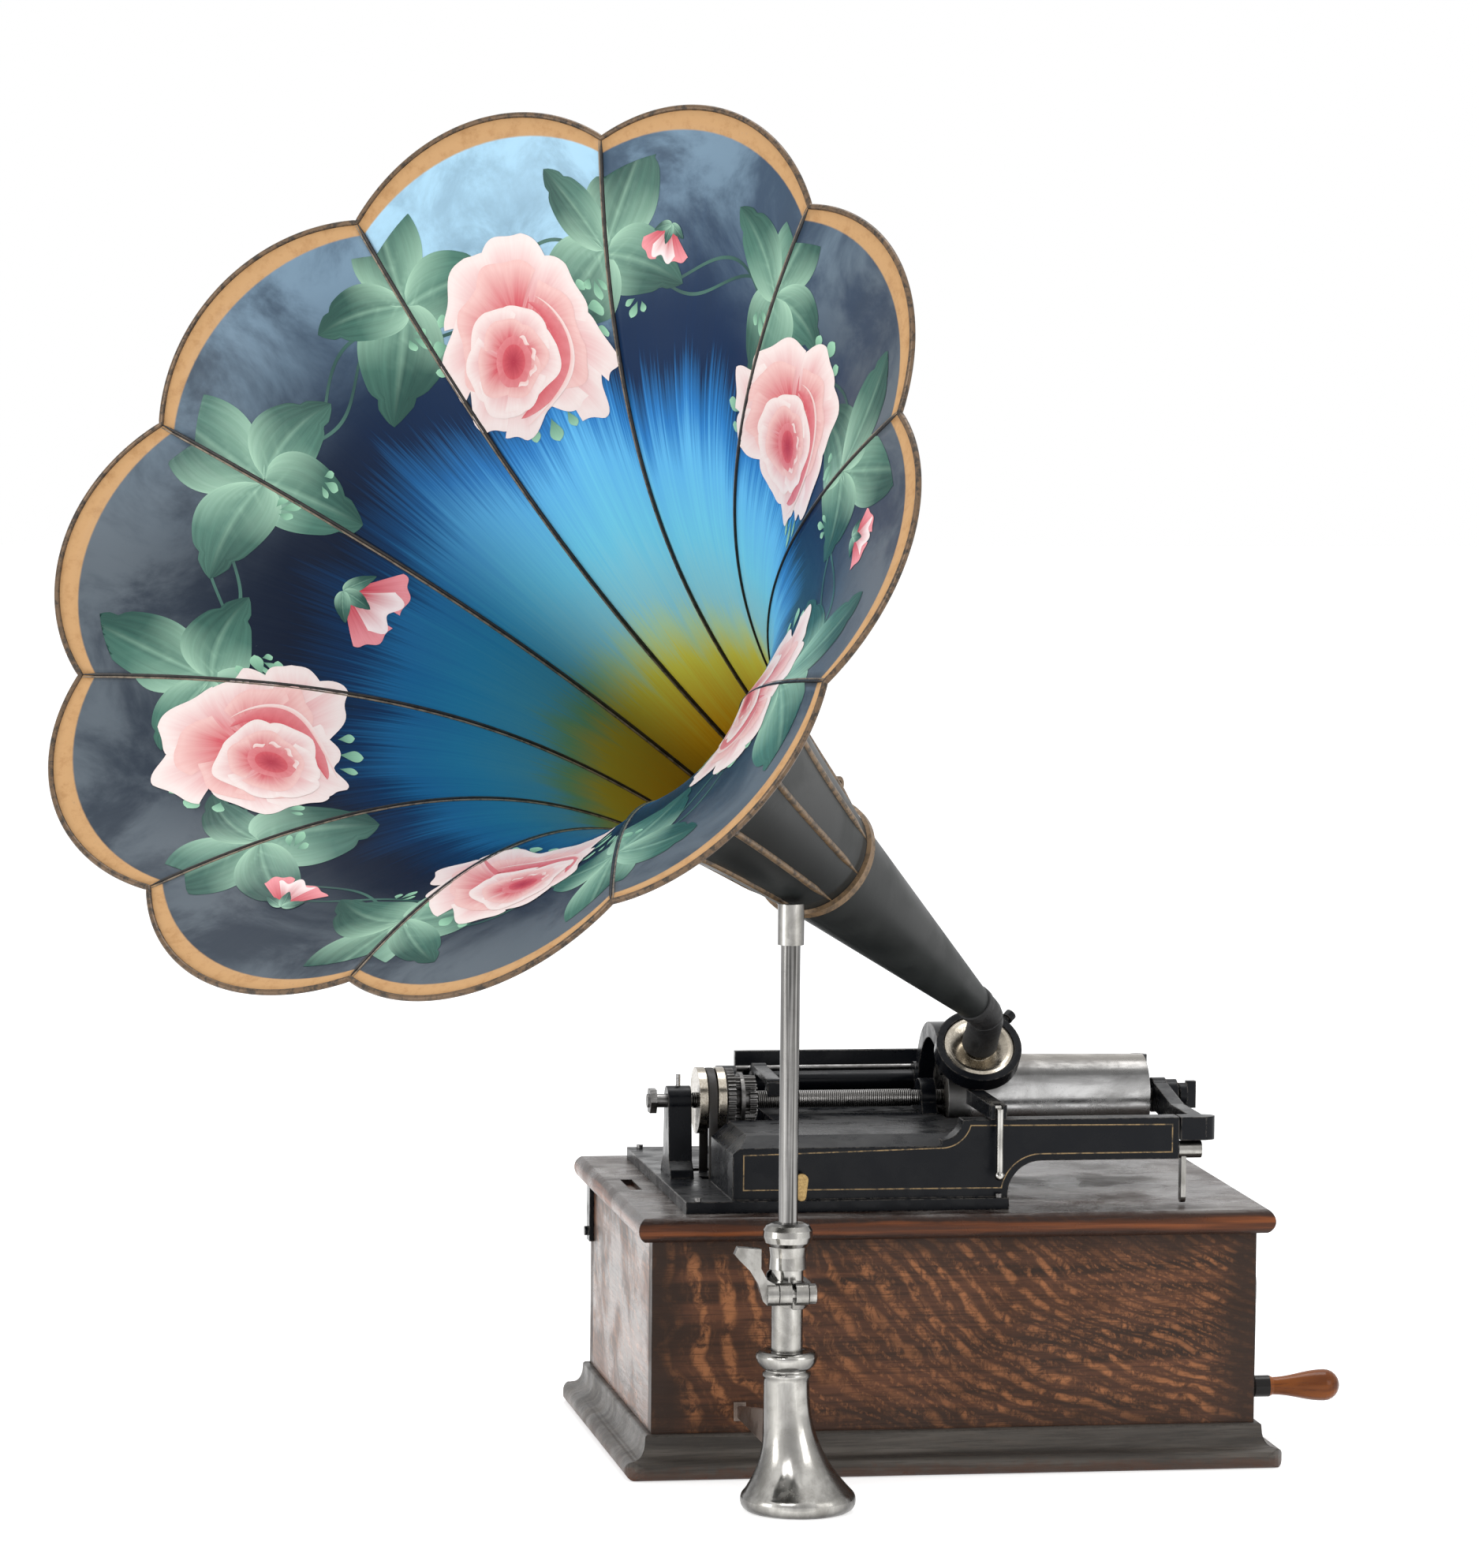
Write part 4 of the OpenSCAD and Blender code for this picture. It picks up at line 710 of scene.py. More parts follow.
@dataclass(frozen=True)
class HornInside(Finish):
    """Painted ground of the bell: ochre throat, blue, navy and dark slate, with a gold rim.

    It reads the bell's own UV map: petal number plus place across it, and place from ring to rim. Two rows of
    colours, a lit one and a shaded one, are mixed by the angle about the horn: painted light and painted shade.
    The outer clouds turn lighter towards the upper petals and one petal carries a painted sheen, both painted
    light.
    """

    name: str = "horn_ground"
    gold: Colour = (0.545, 0.325, 0.155)
    gold_worn: Colour = (0.390, 0.205, 0.085)
    light: Stops = ((0.00, (0.300, 0.110, 0.004)), (0.22, (0.900, 0.500, 0.020)),
                    (0.36, (0.940, 0.860, 0.110)), (0.42, (0.640, 0.880, 0.520)),
                    (0.475, (0.360, 0.800, 0.900)), (0.58, (0.215, 0.730, 0.950)),
                    (0.685, (0.140, 0.530, 0.900)), (0.74, (0.035, 0.230, 0.590)),
                    (0.80, (0.009, 0.028, 0.080)), (1.00, (0.014, 0.028, 0.060)))
    shade: Stops = ((0.00, (0.160, 0.080, 0.005)), (0.24, (0.330, 0.200, 0.012)),
                    (0.36, (0.280, 0.215, 0.020)), (0.43, (0.090, 0.200, 0.100)),
                    (0.49, (0.040, 0.205, 0.300)), (0.60, (0.018, 0.170, 0.310)),
                    (0.69, (0.012, 0.115, 0.270)), (0.745, (0.005, 0.032, 0.095)),
                    (0.81, (0.005, 0.011, 0.028)), (1.00, (0.017, 0.026, 0.042)))
    # angle of the side with the painted light, where the lit row shows fully
    bright_turn: float = 160.0
    # petal and colour of the painted sheen: a painted reflection on that petal's outer part
    sheen_petal: float = 5.5
    pale: Colour = (0.405, 0.650, 0.820)
    haze: Colour = (0.112, 0.136, 0.160)
    # lighter, bluer clouds towards the upper petals, and the angle where they are lightest: painted light
    haze_lit_top: Colour = (0.185, 0.285, 0.380)
    lit_top_turn: float = 3.4
    scratch: Colour = (0.24, 0.26, 0.27)
    gold_start: float = 0.9890
    gold_bow: float = 0.0045
    petals: float = 10.0
    roll: float = 2.5
    roughness: float = 0.30

    def surface(self, g: Graph) -> dict[str, Value]:
        """Makes the ground with brush streaks along the petals and an aged gold band.

        Args:
            g: The material's graph.

        Returns:
            What feeds the surface shader's inputs, by name.
        """
        uv = g.add("ShaderNodeTexCoord").outputs["UV"]
        petal, along, _ = g.axes(uv)
        turn = g.times(petal, 2 * np.pi / self.petals)
        streak = g.noise(g.place(stretch=(52, 2.4, 1), source=uv), scale=1.0, detail=5.0, rough=0.7)
        broad = g.noise(g.place(stretch=(5, 1.6, 1), source=uv), scale=1.0, detail=3.0, rough=0.5)
        brushed = g.plus(along, g.plus(g.sway(streak, 0.17), g.sway(broad, 0.11)))
        # painted light and shade: the lit and shaded rows mixed by the angle about the horn
        bright = g.math("COSINE", g.minus(turn, float(np.deg2rad(self.bright_turn - self.roll))))
        ground = g.mix(g.band(bright, -0.17, 0.70), g.ramp(brushed, self.shade), g.ramp(brushed, self.light))
        cloud = g.noise(g.place(), scale=17.0, detail=6.0, rough=0.62, warp=0.5)
        outer = g.times(g.band(along, 0.83, 0.975), g.band(cloud, 0.36, 0.62, 0.25, 1.0))
        # painted light: the outer clouds turn lighter and bluer towards the upper petals
        up = g.band(g.math("COSINE", g.minus(turn, self.lit_top_turn)), 0.2, 1.0)
        ground = g.mix(outer, ground, g.mix(up, self.haze, self.haze_lit_top))
        # painted reflection: one petal's outer part turned pale
        ground = g.mix(self.painted_sheen_mask(g, petal, along), ground, self.pale)
        scratch = g.noise(g.place(), scale=260.0, detail=4.0, rough=0.75, warp=1.2)
        ground = g.mix(g.band(scratch, 0.72, 0.78, 0.0, 0.3), ground, self.scratch)
        smudge = self.smudge(g, 14.0)
        return {"Base Color": self.gilded(g, petal, along, ground),
                "Roughness": g.band(smudge, 0.0, 1.0, self.roughness, self.roughness + 0.16),
                "Normal": g.bump(streak, distance=0.0001, strength=0.3), "Specular IOR Level": 0.10}

    def painted_sheen_mask(self, g: Graph, petal: Socket, along: Socket) -> Socket:
        """Masks the painted sheen on one petal's outer part, a painted reflection ragged by clouds.

        Args:
            g: The material's graph.
            petal: Petal number plus place across it.
            along: Place from ring to rim.

        Returns:
            The mask, from 0 to 1.
        """
        cloud = g.noise(g.place(), scale=26.0, detail=6.0, rough=0.65, warp=0.4)
        inside = g.band(g.math("ABSOLUTE", g.minus(petal, self.sheen_petal)), 0.485, 0.497, 1.0, 0.0)
        high = g.band(g.plus(along, g.times(cloud, 0.10)), 0.84, 0.97)
        return g.times(g.times(inside, high), g.band(cloud, 0.34, 0.58, 0.62, 1.0))

    def gilded(self, g: Graph, petal: Socket, along: Socket, ground: Socket) -> Socket:
        """Lays the gold band on the ground. Its inner edge follows the petal's rim.

        Args:
            g: The material's graph.
            petal: Petal number plus place across it.
            along: Place from ring to rim.
            ground: Colour under the gold.

        Returns:
            The ground with its band.
        """
        across = g.minus(g.times(g.math("FRACT", petal), 2.0), 1.0)
        bow = g.minus(1.0, g.times(across, across))
        inner = g.minus(self.gold_start, g.times(bow, self.gold_bow))
        worn = g.noise(g.place(), scale=130.0, detail=6.0, rough=0.7)
        band = g.times(g.band(g.minus(along, inner), -0.0008, 0.0008), g.band(worn, 0.26, 0.36, 0.75, 1.0))
        return g.mix(band, ground, g.mix(g.band(worn, 0.45, 0.75, 0.0, 0.7), self.gold, self.gold_worn))


@dataclass(frozen=True)
class Japan(Finish):
    """Outside of the horn: black-green japan, satin and a little mottled."""

    name: str = "horn_japan"
    colour: Colour = (0.013, 0.015, 0.015)
    pale: Colour = (0.028, 0.031, 0.030)
    chip: Colour = (0.20, 0.19, 0.17)
    roughness: float = 0.36

    def surface(self, g: Graph) -> dict[str, Value]:
        """Makes satin black with pale clouds and small chips.

        Args:
            g: The material's graph.

        Returns:
            What feeds the surface shader's inputs, by name.
        """
        smudge = self.smudge(g, 18.0)
        chips = g.noise(g.place(), scale=310.0, detail=5.0, rough=0.75, warp=1.0)
        colour = g.mix(g.times(smudge, 0.6), self.colour, self.pale)
        return {"Base Color": g.mix(g.band(chips, 0.70, 0.75, 0.0, 0.6), colour, self.chip),
                "Roughness": g.band(smudge, 0.0, 1.0, self.roughness, self.roughness + 0.14),
                "Normal": g.bump(smudge, distance=0.00015, strength=0.35), "Specular IOR Level": 0.24}


@dataclass(frozen=True)
class Line(Finish):
    """Thin painted line of bronze or gold, worn through in places."""

    name: str
    colour: Colour = (0.27, 0.165, 0.075)
    under: Colour = (0.05, 0.035, 0.022)
    wear: float = 0.5

    def surface(self, g: Graph) -> dict[str, Value]:
        """Makes a dull metallic line with worn gaps.

        Args:
            g: The material's graph.

        Returns:
            What feeds the surface shader's inputs, by name.
        """
        worn = g.noise(g.place(), scale=240.0, detail=5.0, rough=0.7)
        return {"Base Color": g.mix(g.band(worn, 0.44, 0.62, 0.0, self.wear), self.colour, self.under),
                "Roughness": g.band(worn, 0.3, 0.7, 0.34, 0.5), "Metallic": 0.25}


@dataclass(frozen=True)
class BrushPaint(Finish):
    """Flower paint: colour from the strokes' own attribute, with bristle marks along each stroke."""

    name: str = "flower_paint"

    def surface(self, g: Graph) -> dict[str, Value]:
        """Makes oil paint with fine bristle lines.

        Args:
            g: The material's graph.

        Returns:
            What feeds the surface shader's inputs, by name.
        """
        stroke = g.add("ShaderNodeAttribute", attribute_name="paint", attribute_type="GEOMETRY")
        paint = stroke.outputs["Color"]
        uv = g.add("ShaderNodeTexCoord").outputs["UV"]
        bristle = g.noise(g.place(stretch=(1.6, 22, 1), source=uv), scale=1.0, detail=4.0, rough=0.6)
        dark = g.mix(0.55, paint, paint, "MULTIPLY")
        return {"Base Color": g.mix(g.band(bristle, 0.35, 0.65, 0.0, 0.28), paint, dark),
                "Roughness": g.band(bristle, 0.3, 0.7, 0.34, 0.46),
                "Normal": g.bump(bristle, distance=0.0001, strength=0.4), "Specular IOR Level": 0.28}


@dataclass(frozen=True)
class FloorWhite(Finish):
    """Matt white floor that glows where the camera or a reflection sees it."""

    name: str = "floor_white"
    colour: Colour = (0.86, 0.86, 0.86)
    glow: float = 0.62

    def surface(self, g: Graph) -> dict[str, Value]:
        """Makes the white with its glow.

        Args:
            g: The material's graph.

        Returns:
            What feeds the surface shader's inputs, by name.
        """
        path = g.add("ShaderNodeLightPath").outputs
        seen = g.most(path["Is Camera Ray"], path["Is Glossy Ray"])
        return {"Base Color": self.colour, "Roughness": 0.9, "Emission Color": (1.0, 1.0, 1.0),
                "Emission Strength": g.times(seen, self.glow)}


@dataclass(frozen=True)
class Bend:
    """Two bodies that a soft piece lies between, and the places in millimetres where each would have full hold;
    hold() reads none of them.
    """

    first: Body
    second: Body
    start: np.ndarray
    end: np.ndarray

    def hold(self, piece: bpy.types.Object) -> None:
        """Bakes the piece's placement into its mesh; the piece is neither bent nor attached to a body."""
        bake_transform(piece)


def make_piece(name: str, points: np.ndarray, faces: np.ndarray, body: Union[Body, Bend], slot: str,
               uv: Optional[np.ndarray] = None, paint: Optional[np.ndarray] = None,
               kinds: Optional[np.ndarray] = None, finishes: Sequence[Finish] = ()) -> bpy.types.Object:
    """Puts arrays into a mesh that rides on a body, or only has its placement baked for a bend.

    Args:
        name: The piece's name.
        points: Vertices in millimetres, n by 3.
        faces: Corners of the quads, m by 4.
        body: The body that it moves with, or a bend, which only bakes its placement.
        slot: The record's material slot; not used.
        uv: Place of each vertex on the piece's own map.
        paint: Colour of each vertex.
        kinds: Number of the finish on each face.
        finishes: Finishes in order.

    Returns:
        The new object.
    """
    mesh = bpy.data.meshes.new(name)
    mesh.from_pydata((points * MM).tolist(), [], faces.tolist())
    mesh.polygons.foreach_set("use_smooth", np.ones(len(faces), bool))
    if uv is not None:
        mesh.uv_layers.new(name="UVMap").data.foreach_set("uv", uv[faces].astype(np.float32).ravel())
    if paint is not None:
        rgba = np.concatenate([paint, np.ones((len(paint), 1))], axis=1).astype(np.float32)
        mesh.color_attributes.new("paint", "FLOAT_COLOR", "POINT").data.foreach_set("color", rgba.ravel())
    for finish in finishes:
        mesh.materials.append(finish.material())
    if kinds is not None:
        mesh.polygons.foreach_set("material_index", kinds.astype(np.int32))
    mesh.update()
    piece = bpy.data.objects.new(name, mesh)
    bpy.context.scene.collection.objects.link(piece)
    if isinstance(body, Bend):
        body.hold(piece)
    else:
        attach(piece, body.value)
    LOG.info("piece %s: %d faces", name, len(faces))
    return piece


def grid_faces(rows: int, columns: int, closed: bool = False, flip: bool = False) -> np.ndarray:
    """Quads of a grid of points, row by row.

    Args:
        rows: Number of rows.
        columns: Points in a row.
        closed: Whether the last row joins the first, and a row's last point its first.
        flip: Whether to turn the faces over.

    Returns:
        Corner numbers, one quad a row.
    """
    cut = 0 if closed else 1
    i, j = np.meshgrid(np.arange(rows - cut), np.arange(columns - cut), indexing="ij")
    a, b = (i + 1) % rows, (j + 1) % columns
    quads = np.stack([i * columns + j, i * columns + b, a * columns + b, a * columns + j], -1).reshape(-1, 4)
    return quads[:, ::-1] if flip else quads


def spread(rows: int, columns: int, low: float = -1.0) -> Sequence[np.ndarray]:
    """Returns places on a stroke: from 0 to 1 over its rows, and from low to 1 over its columns."""
    return np.meshgrid(np.linspace(0, 1, rows), np.linspace(low, 1, columns), indexing="ij")


def unit(vectors: np.ndarray) -> np.ndarray:
    """Returns vectors drawn to length 1."""
    return vectors / np.linalg.norm(vectors, axis=-1, keepdims=True)


def arc_lengths(line: np.ndarray) -> np.ndarray:
    """Returns the length along a line of points up to each of them."""
    return np.concatenate([[0.0], np.cumsum(np.linalg.norm(np.diff(line, axis=0), axis=1))])


def full_turn(sides: int) -> np.ndarray:
    """Returns angles of the points of a closed profile, in radians."""
    return np.linspace(0, 2 * np.pi, sides, endpoint=False)


def sweep(path: np.ndarray, side: np.ndarray, lift: np.ndarray, radius: np.ndarray,
          turns: np.ndarray) -> np.ndarray:
    """Carries a round profile along a path.

    Each ring is the path's point plus radius times the cosine along side and the sine along lift.

    Args:
        path: Points of the path, n by 3.
        side: Unit vectors across the path.
        lift: Unit vectors square to path and side.
        radius: Radius at each point.
        turns: Angles of the profile's points, in radians.

    Returns:
        Points of the rings, n by m by 3.
    """
    ring = np.cos(turns)[None, :, None] * side[:, None, :] + np.sin(turns)[None, :, None] * lift[:, None, :]
    return path[:, None, :] + radius[:, None, None] * ring


def tube(rings: np.ndarray) -> tuple[np.ndarray, np.ndarray]:
    """Closes rings into a loop whose faces look away from its middle line.

    Args:
        rings: Points of the rings, n by m by 3.

    Returns:
        The points and the quads.
    """
    count, sides = rings.shape[:2]
    points, faces = rings.reshape(-1, 3), grid_faces(count, sides, closed=True)
    a, b, c = (points[faces[:, k]] for k in (0, 1, 2))
    away = points[faces].mean(axis=1) - rings.mean(axis=1)[faces[:, 0] // sides]
    looks_out = (np.cross(b - a, c - b) * away).sum() > 0
    return points, faces if looks_out else faces[:, ::-1]


@dataclass
class HornShape:
    """Shape of the horn, with the drawing's own sizes and formula."""

    bend: tuple = (25.0, -54.247, 223.845)
    turn: float = 43.4
    rise: float = 30.0
    roll: float = 2.5
    length: float = 507.0
    ring_s: float = 187.0
    ring_r: float = 28.5
    mouth_r: float = 214.0
    straight: float = 50.0
    power: float = 3.65
    lobe_r: float = 17.7
    lobe_s: float = 7.0
    petals: int = 10
    sheet: float = 1.0
    gap: float = 0.3
    samples: int = 400

    def __post_init__(self) -> None:
        """Works out the horn's frame and a table of arc length along a seam."""
        tip, swing = np.deg2rad(90 - self.rise), np.deg2rad(270 - self.turn)
        tilt = np.array([[np.cos(tip), 0, np.sin(tip)], [0, 1, 0], [-np.sin(tip), 0, np.cos(tip)]])
        yaw = np.array([[np.cos(swing), -np.sin(swing), 0], [np.sin(swing), np.cos(swing), 0], [0, 0, 1]])
        self.frame = yaw @ tilt
        self.half = 180.0 / self.petals
        self.flare = self.mouth_r - self.ring_r - self.straight
        self.w_table = np.linspace(0.0, 1.0, self.samples)
        self.arc_table = arc_lengths(self.point(np.full(self.samples, self.roll), self.w_table))

    def world(self, local: np.ndarray) -> np.ndarray:
        """Returns points of the horn's frame, whose z runs along the horn, in the object's frame."""
        return local @ self.frame.T + np.array(self.bend)

    def radius(self, w: np.ndarray) -> np.ndarray:
        """Returns the seam's radius at w, from 0 at the ring to 1 at the rim."""
        return self.ring_r + self.straight * w + self.flare * w ** self.power

    def point(self, theta: np.ndarray, w: np.ndarray, out: Union[float, np.ndarray] = 0.0) -> np.ndarray:
        """Places points on the bell.

        A petal's middle stands out from its seams by a share that grows with the cube of w and falls off with
        the square of the place across it.

        Args:
            theta: Angle about the horn's axis in degrees.
            w: Place from ring to rim.
            out: Distance outwards from the inside face.

        Returns:
            The points, in the object's frame.
        """
        span = self.length - self.ring_s
        across = ((theta - self.roll) / (2 * self.half)) % 1.0 * 2.0 - 1.0
        lobe = w ** 3 * (1.0 - across ** 2)
        slope = (self.straight + self.flare * self.power * w ** (self.power - 1)) / span
        lean = 1.0 / np.sqrt(1.0 + slope ** 2)
        r = self.radius(w) + self.lobe_r * lobe + out * lean
        s = self.ring_s + self.gap + span * w + self.lobe_s * lobe - out * lean * slope
        a = np.deg2rad(theta)
        return self.world(np.stack([r * np.cos(a), r * np.sin(a), s], -1))

    def unroll(self, theta0: float, arc0: float, p: np.ndarray,
               q: np.ndarray) -> tuple[np.ndarray, np.ndarray]:
        """Turns a place on the flat sheet into angle and w.

        Args:
            theta0: Angle of the drawing's middle.
            arc0: Arc length from the ring to the drawing's middle.
            p: Distance across, along the rim.
            q: Distance outwards, along the seams.

        Returns:
            Angle in degrees and w.
        """
        w = np.interp(arc0 + q, self.arc_table, self.w_table)
        return theta0 + np.rad2deg(p / self.radius(w)), w


@dataclass
class Horn:
    """Bell with its rim, seams and ribs."""

    shape: HornShape
    rows: int = 72
    columns: int = 25
    crowding: float = 0.9
    seam_gap: float = 5.0
    map_inset: float = 0.9999
    rim_r: float = 1.4
    rim_points: int = 720
    rim_sides: int = 10
    seam_r: float = 0.78
    edge_r: float = 0.52
    edge_side: float = 1.25
    rib_r: float = 1.7
    rib_start: float = 0.06
    bead_rows: int = 90
    bead_points: int = 7

    def build(self) -> None:
        """Builds and dresses the horn's bell."""
        self.bell()
        self.rim()
        self.seams()
        self.ribs()

    def bell(self) -> None:
        """Petals as closed sheets: an inside grid, an outside grid and a strip round their border."""
        s = self.shape
        w = np.linspace(0.0, 1.0, self.rows) ** self.crowding
        across = np.linspace(-1.0, 1.0, self.columns)
        reach = (s.half - self.seam_gap / s.radius(w))[:, None] * across
        n = self.rows * self.columns
        inside = grid_faces(self.rows, self.columns)
        ids = np.arange(n).reshape(self.rows, self.columns)
        border = np.concatenate([ids[0, :-1], ids[:-1, -1], ids[-1, :0:-1], ids[:0:-1, 0]])
        after = np.roll(border, -1)
        strip = np.stack([border, after, after + n, border + n], -1)
        ww = np.repeat(w[:, None], self.columns, 1)
        points, faces, uv, kinds = [], [], [], []
        for k in range(s.petals):
            theta = s.roll + s.half * (2 * k + 1) + reach
            points += [s.point(theta, ww, out).reshape(-1, 3) for out in (0.0, s.sheet)]
            place = np.broadcast_to(k + (across * self.map_inset + 1) / 2, ww.shape)
            uv += 2 * [np.stack([place, ww], -1).reshape(-1, 2)]
            base = 2 * n * k
            faces += [inside[:, ::-1] + base, inside + n + base, strip + base]
            kinds += [np.zeros(len(inside)), np.ones(len(inside) + len(strip))]
        piece = make_piece("horn_petals", np.concatenate(points), np.concatenate(faces), Body.HORN,
                           "horn_paint", uv=np.concatenate(uv), kinds=np.concatenate(kinds),
                           finishes=(HornInside(), Japan()))
        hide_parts("horn_bell")

    def _bead(self, theta: np.ndarray, w: np.ndarray, radius: np.ndarray, out: float,
              turns: np.ndarray) -> np.ndarray:
        """Lays a bead on the bell.

        Args:
            theta: Angles of its middle line.
            w: Places of its middle line from ring to rim.
            radius: Its radius at each point.
            out: Distance of the line outwards from the inside face.
            turns: Angles of the profile's points.

        Returns:
            Points of its rings.
        """
        path = self.shape.point(theta, w, out)
        ahead = unit(np.gradient(path, axis=0))
        off = self.shape.point(theta, w, out + 1.0) - path
        off = unit(off - (off * ahead).sum(1, keepdims=True) * ahead)
        return sweep(path, np.cross(ahead, off), off, radius, turns)

    def rim(self) -> None:
        """Wire rolled into the rim, as one closed ring."""
        theta = np.linspace(0.0, 360.0, self.rim_points, endpoint=False) + self.shape.roll
        ones = np.ones(self.rim_points)
        rings = self._bead(theta, ones, self.rim_r * ones, self.shape.sheet * 0.6, full_turn(self.rim_sides))
        make_piece("horn_rim", *tube(rings), Body.HORN, "horn_gold",
                   finishes=(Line("rim_wire", (0.14, 0.085, 0.045), (0.02, 0.016, 0.012), wear=0.9),))

    def seams(self) -> None:
        """Soldered seams inside the bell: near-black half-round beads from the throat to the rim, partly a
        painted shadow line, with a bronze edge that is partly a painted highlight.
        """
        turns = np.linspace(np.pi, 2 * np.pi, self.bead_points)
        # bronze line beside each seam, partly a painted highlight
        self._beads("horn_seam_edges", 0.0, self.edge_r, turns, 0.0,
                    Line("seam_edge", (0.235, 0.185, 0.135), (0.045, 0.040, 0.036), wear=0.7), self.edge_side)
        # near-black seam bead, partly a painted shadow line
        self._beads("horn_seams", 0.0, self.seam_r, turns, 0.0,
                    Line("seam_line", (0.022, 0.019, 0.017), (0.006, 0.006, 0.007), wear=0.8))

    def ribs(self) -> None:
        """Folded ribs over the seams outside the bell, with bronze lines."""
        self._beads("horn_ribs", self.shape.sheet, self.rib_r, np.linspace(0, np.pi, self.bead_points),
                    self.rib_start, Line("rib_line", (0.20, 0.125, 0.062), (0.030, 0.026, 0.022), wear=0.8))

    def _beads(self, name: str, out: float, radius: float, turns: np.ndarray, start: float,
               finish: Finish, side: float = 0.0) -> None:
        """Builds one bead on every seam.

        Args:
            name: The piece's name.
            out: Distance of the bead's middle outwards from the inside face.
            radius: Radius of the bead.
            turns: Angles of the half-round profile.
            start: Where the bead grows to its full radius.
            finish: Its finish.
            side: How far it lies to one side of the seam.
        """
        s = self.shape
        w = np.linspace(0.0, 0.999, self.bead_rows)
        grow = np.clip((w + 0.01) / (start + 0.01), 0.1, 1.0)
        grow[-1] = 0.3
        quads = grid_faces(self.bead_rows, len(turns))
        points, faces = [], []
        for k in range(s.petals):
            theta = s.roll + 2 * s.half * k + np.rad2deg(side / s.radius(w))
            points.append(self._bead(theta, w, radius * grow, out, turns).reshape(-1, 3))
            faces.append(quads + k * len(points[0]))
        make_piece(name, np.concatenate(points), np.concatenate(faces), Body.HORN, "horn_gold",
                   finishes=(finish,))


@dataclass
class Elbow:
    """Rubber hose from the reproducer to the neck: two straight runs, an arc between, a cuff at each end.

    Its lower half is given a bend of arm and carriage and its upper half one of carriage and horn; a bend only
    bakes the half's placement.
    """

    shape: HornShape
    tilt: float = 42.0
    reach: float = 73.0
    start: float = 48.0
    end: float = 15.6
    arc_r: float = 20.0
    outer_r: float = 8.9
    bore_r: float = 7.35
    cuff: float = 0.8
    sides: int = 40
    low_hold: float = 15.0
    high_hold: float = 7.0

    def build(self) -> None:
        """Builds the two halves, which take the drawn elbow's place."""
        tilt, bend = np.deg2rad(self.tilt), np.array(self.shape.bend)
        first, second = np.array([0.0, -np.cos(tilt), np.sin(tilt)]), self.shape.frame[:, 2]
        square = unit(second - (second @ first) * first)
        line, middle = self.middle_line(first, second, square)
        path = line + bend
        wide = np.broadcast_to(np.cross(first, square), path.shape)
        lift = np.cross(unit(np.gradient(path, axis=0)), wide)
        outer, inner = (sweep(path, wide, lift, radius, full_turn(self.sides))
                        for radius in (self.radius(arc_lengths(path)), np.full(len(path), self.bore_r)))
        rubber = Pliant("rubber", (0.009, 0.009, 0.010), (0.026, 0.026, 0.026))
        low = Bend(Body.ARM, Body.CARRIAGE, bend - self.low_hold * first, path[middle])
        high = Bend(Body.CARRIAGE, Body.HORN, path[middle], bend + self.high_hold * second)
        for name, part, hold in (("rubber_elbow_low", slice(0, middle + 1), low),
                                 ("rubber_elbow_high", slice(middle, None), high)):
            wall = np.concatenate([outer[part], inner[part][::-1]])
            faces = grid_faces(len(wall), self.sides, closed=True)
            piece = make_piece(name, wall.reshape(-1, 3), faces, hold, "rubber", finishes=(rubber,))
            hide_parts("horn_elbow")

    def middle_line(self, first: np.ndarray, second: np.ndarray,
                    square: np.ndarray) -> tuple[np.ndarray, int]:
        """Draws the hose's middle line about the bend.

        Args:
            first: Direction of its lower run.
            second: Direction of its upper run.
            square: Direction square to the first, towards the second.

        Returns:
            Points of the line, and the number of the point where the halves meet.
        """
        angle = np.arccos(first @ second)
        back = self.arc_r * np.tan(angle / 2)
        run = np.linspace(self.start - self.reach, -back, 20)[:, None]
        turn = np.linspace(0.0, angle, 18)[1:, None]
        out = np.linspace(back, self.end, 16)[1:, None]
        corner = -back * first + self.arc_r * square
        arc = corner + self.arc_r * (np.sin(turn) * first - np.cos(turn) * square)
        return np.concatenate([run * first, arc, out * second]), len(run) + len(turn) // 2

    def radius(self, place: np.ndarray) -> np.ndarray:
        """Gives the hose a cuff at each end and wrinkles in the bend.

        Args:
            place: Lengths along the hose.

        Returns:
            The outer radius at each of them.
        """
        left = place[-1] - place
        cuff = 1.0 / (1.0 + np.exp((left - 5.0) / 0.4)) + 0.3 / (1.0 + np.exp((place - 6.0) / 0.6))
        wrinkle = 0.12 * np.sin(place * 1.9) * np.exp(-((place - place[-1] * 0.55) / 8.0) ** 2)
        return self.outer_r + self.cuff * cuff + wrinkle


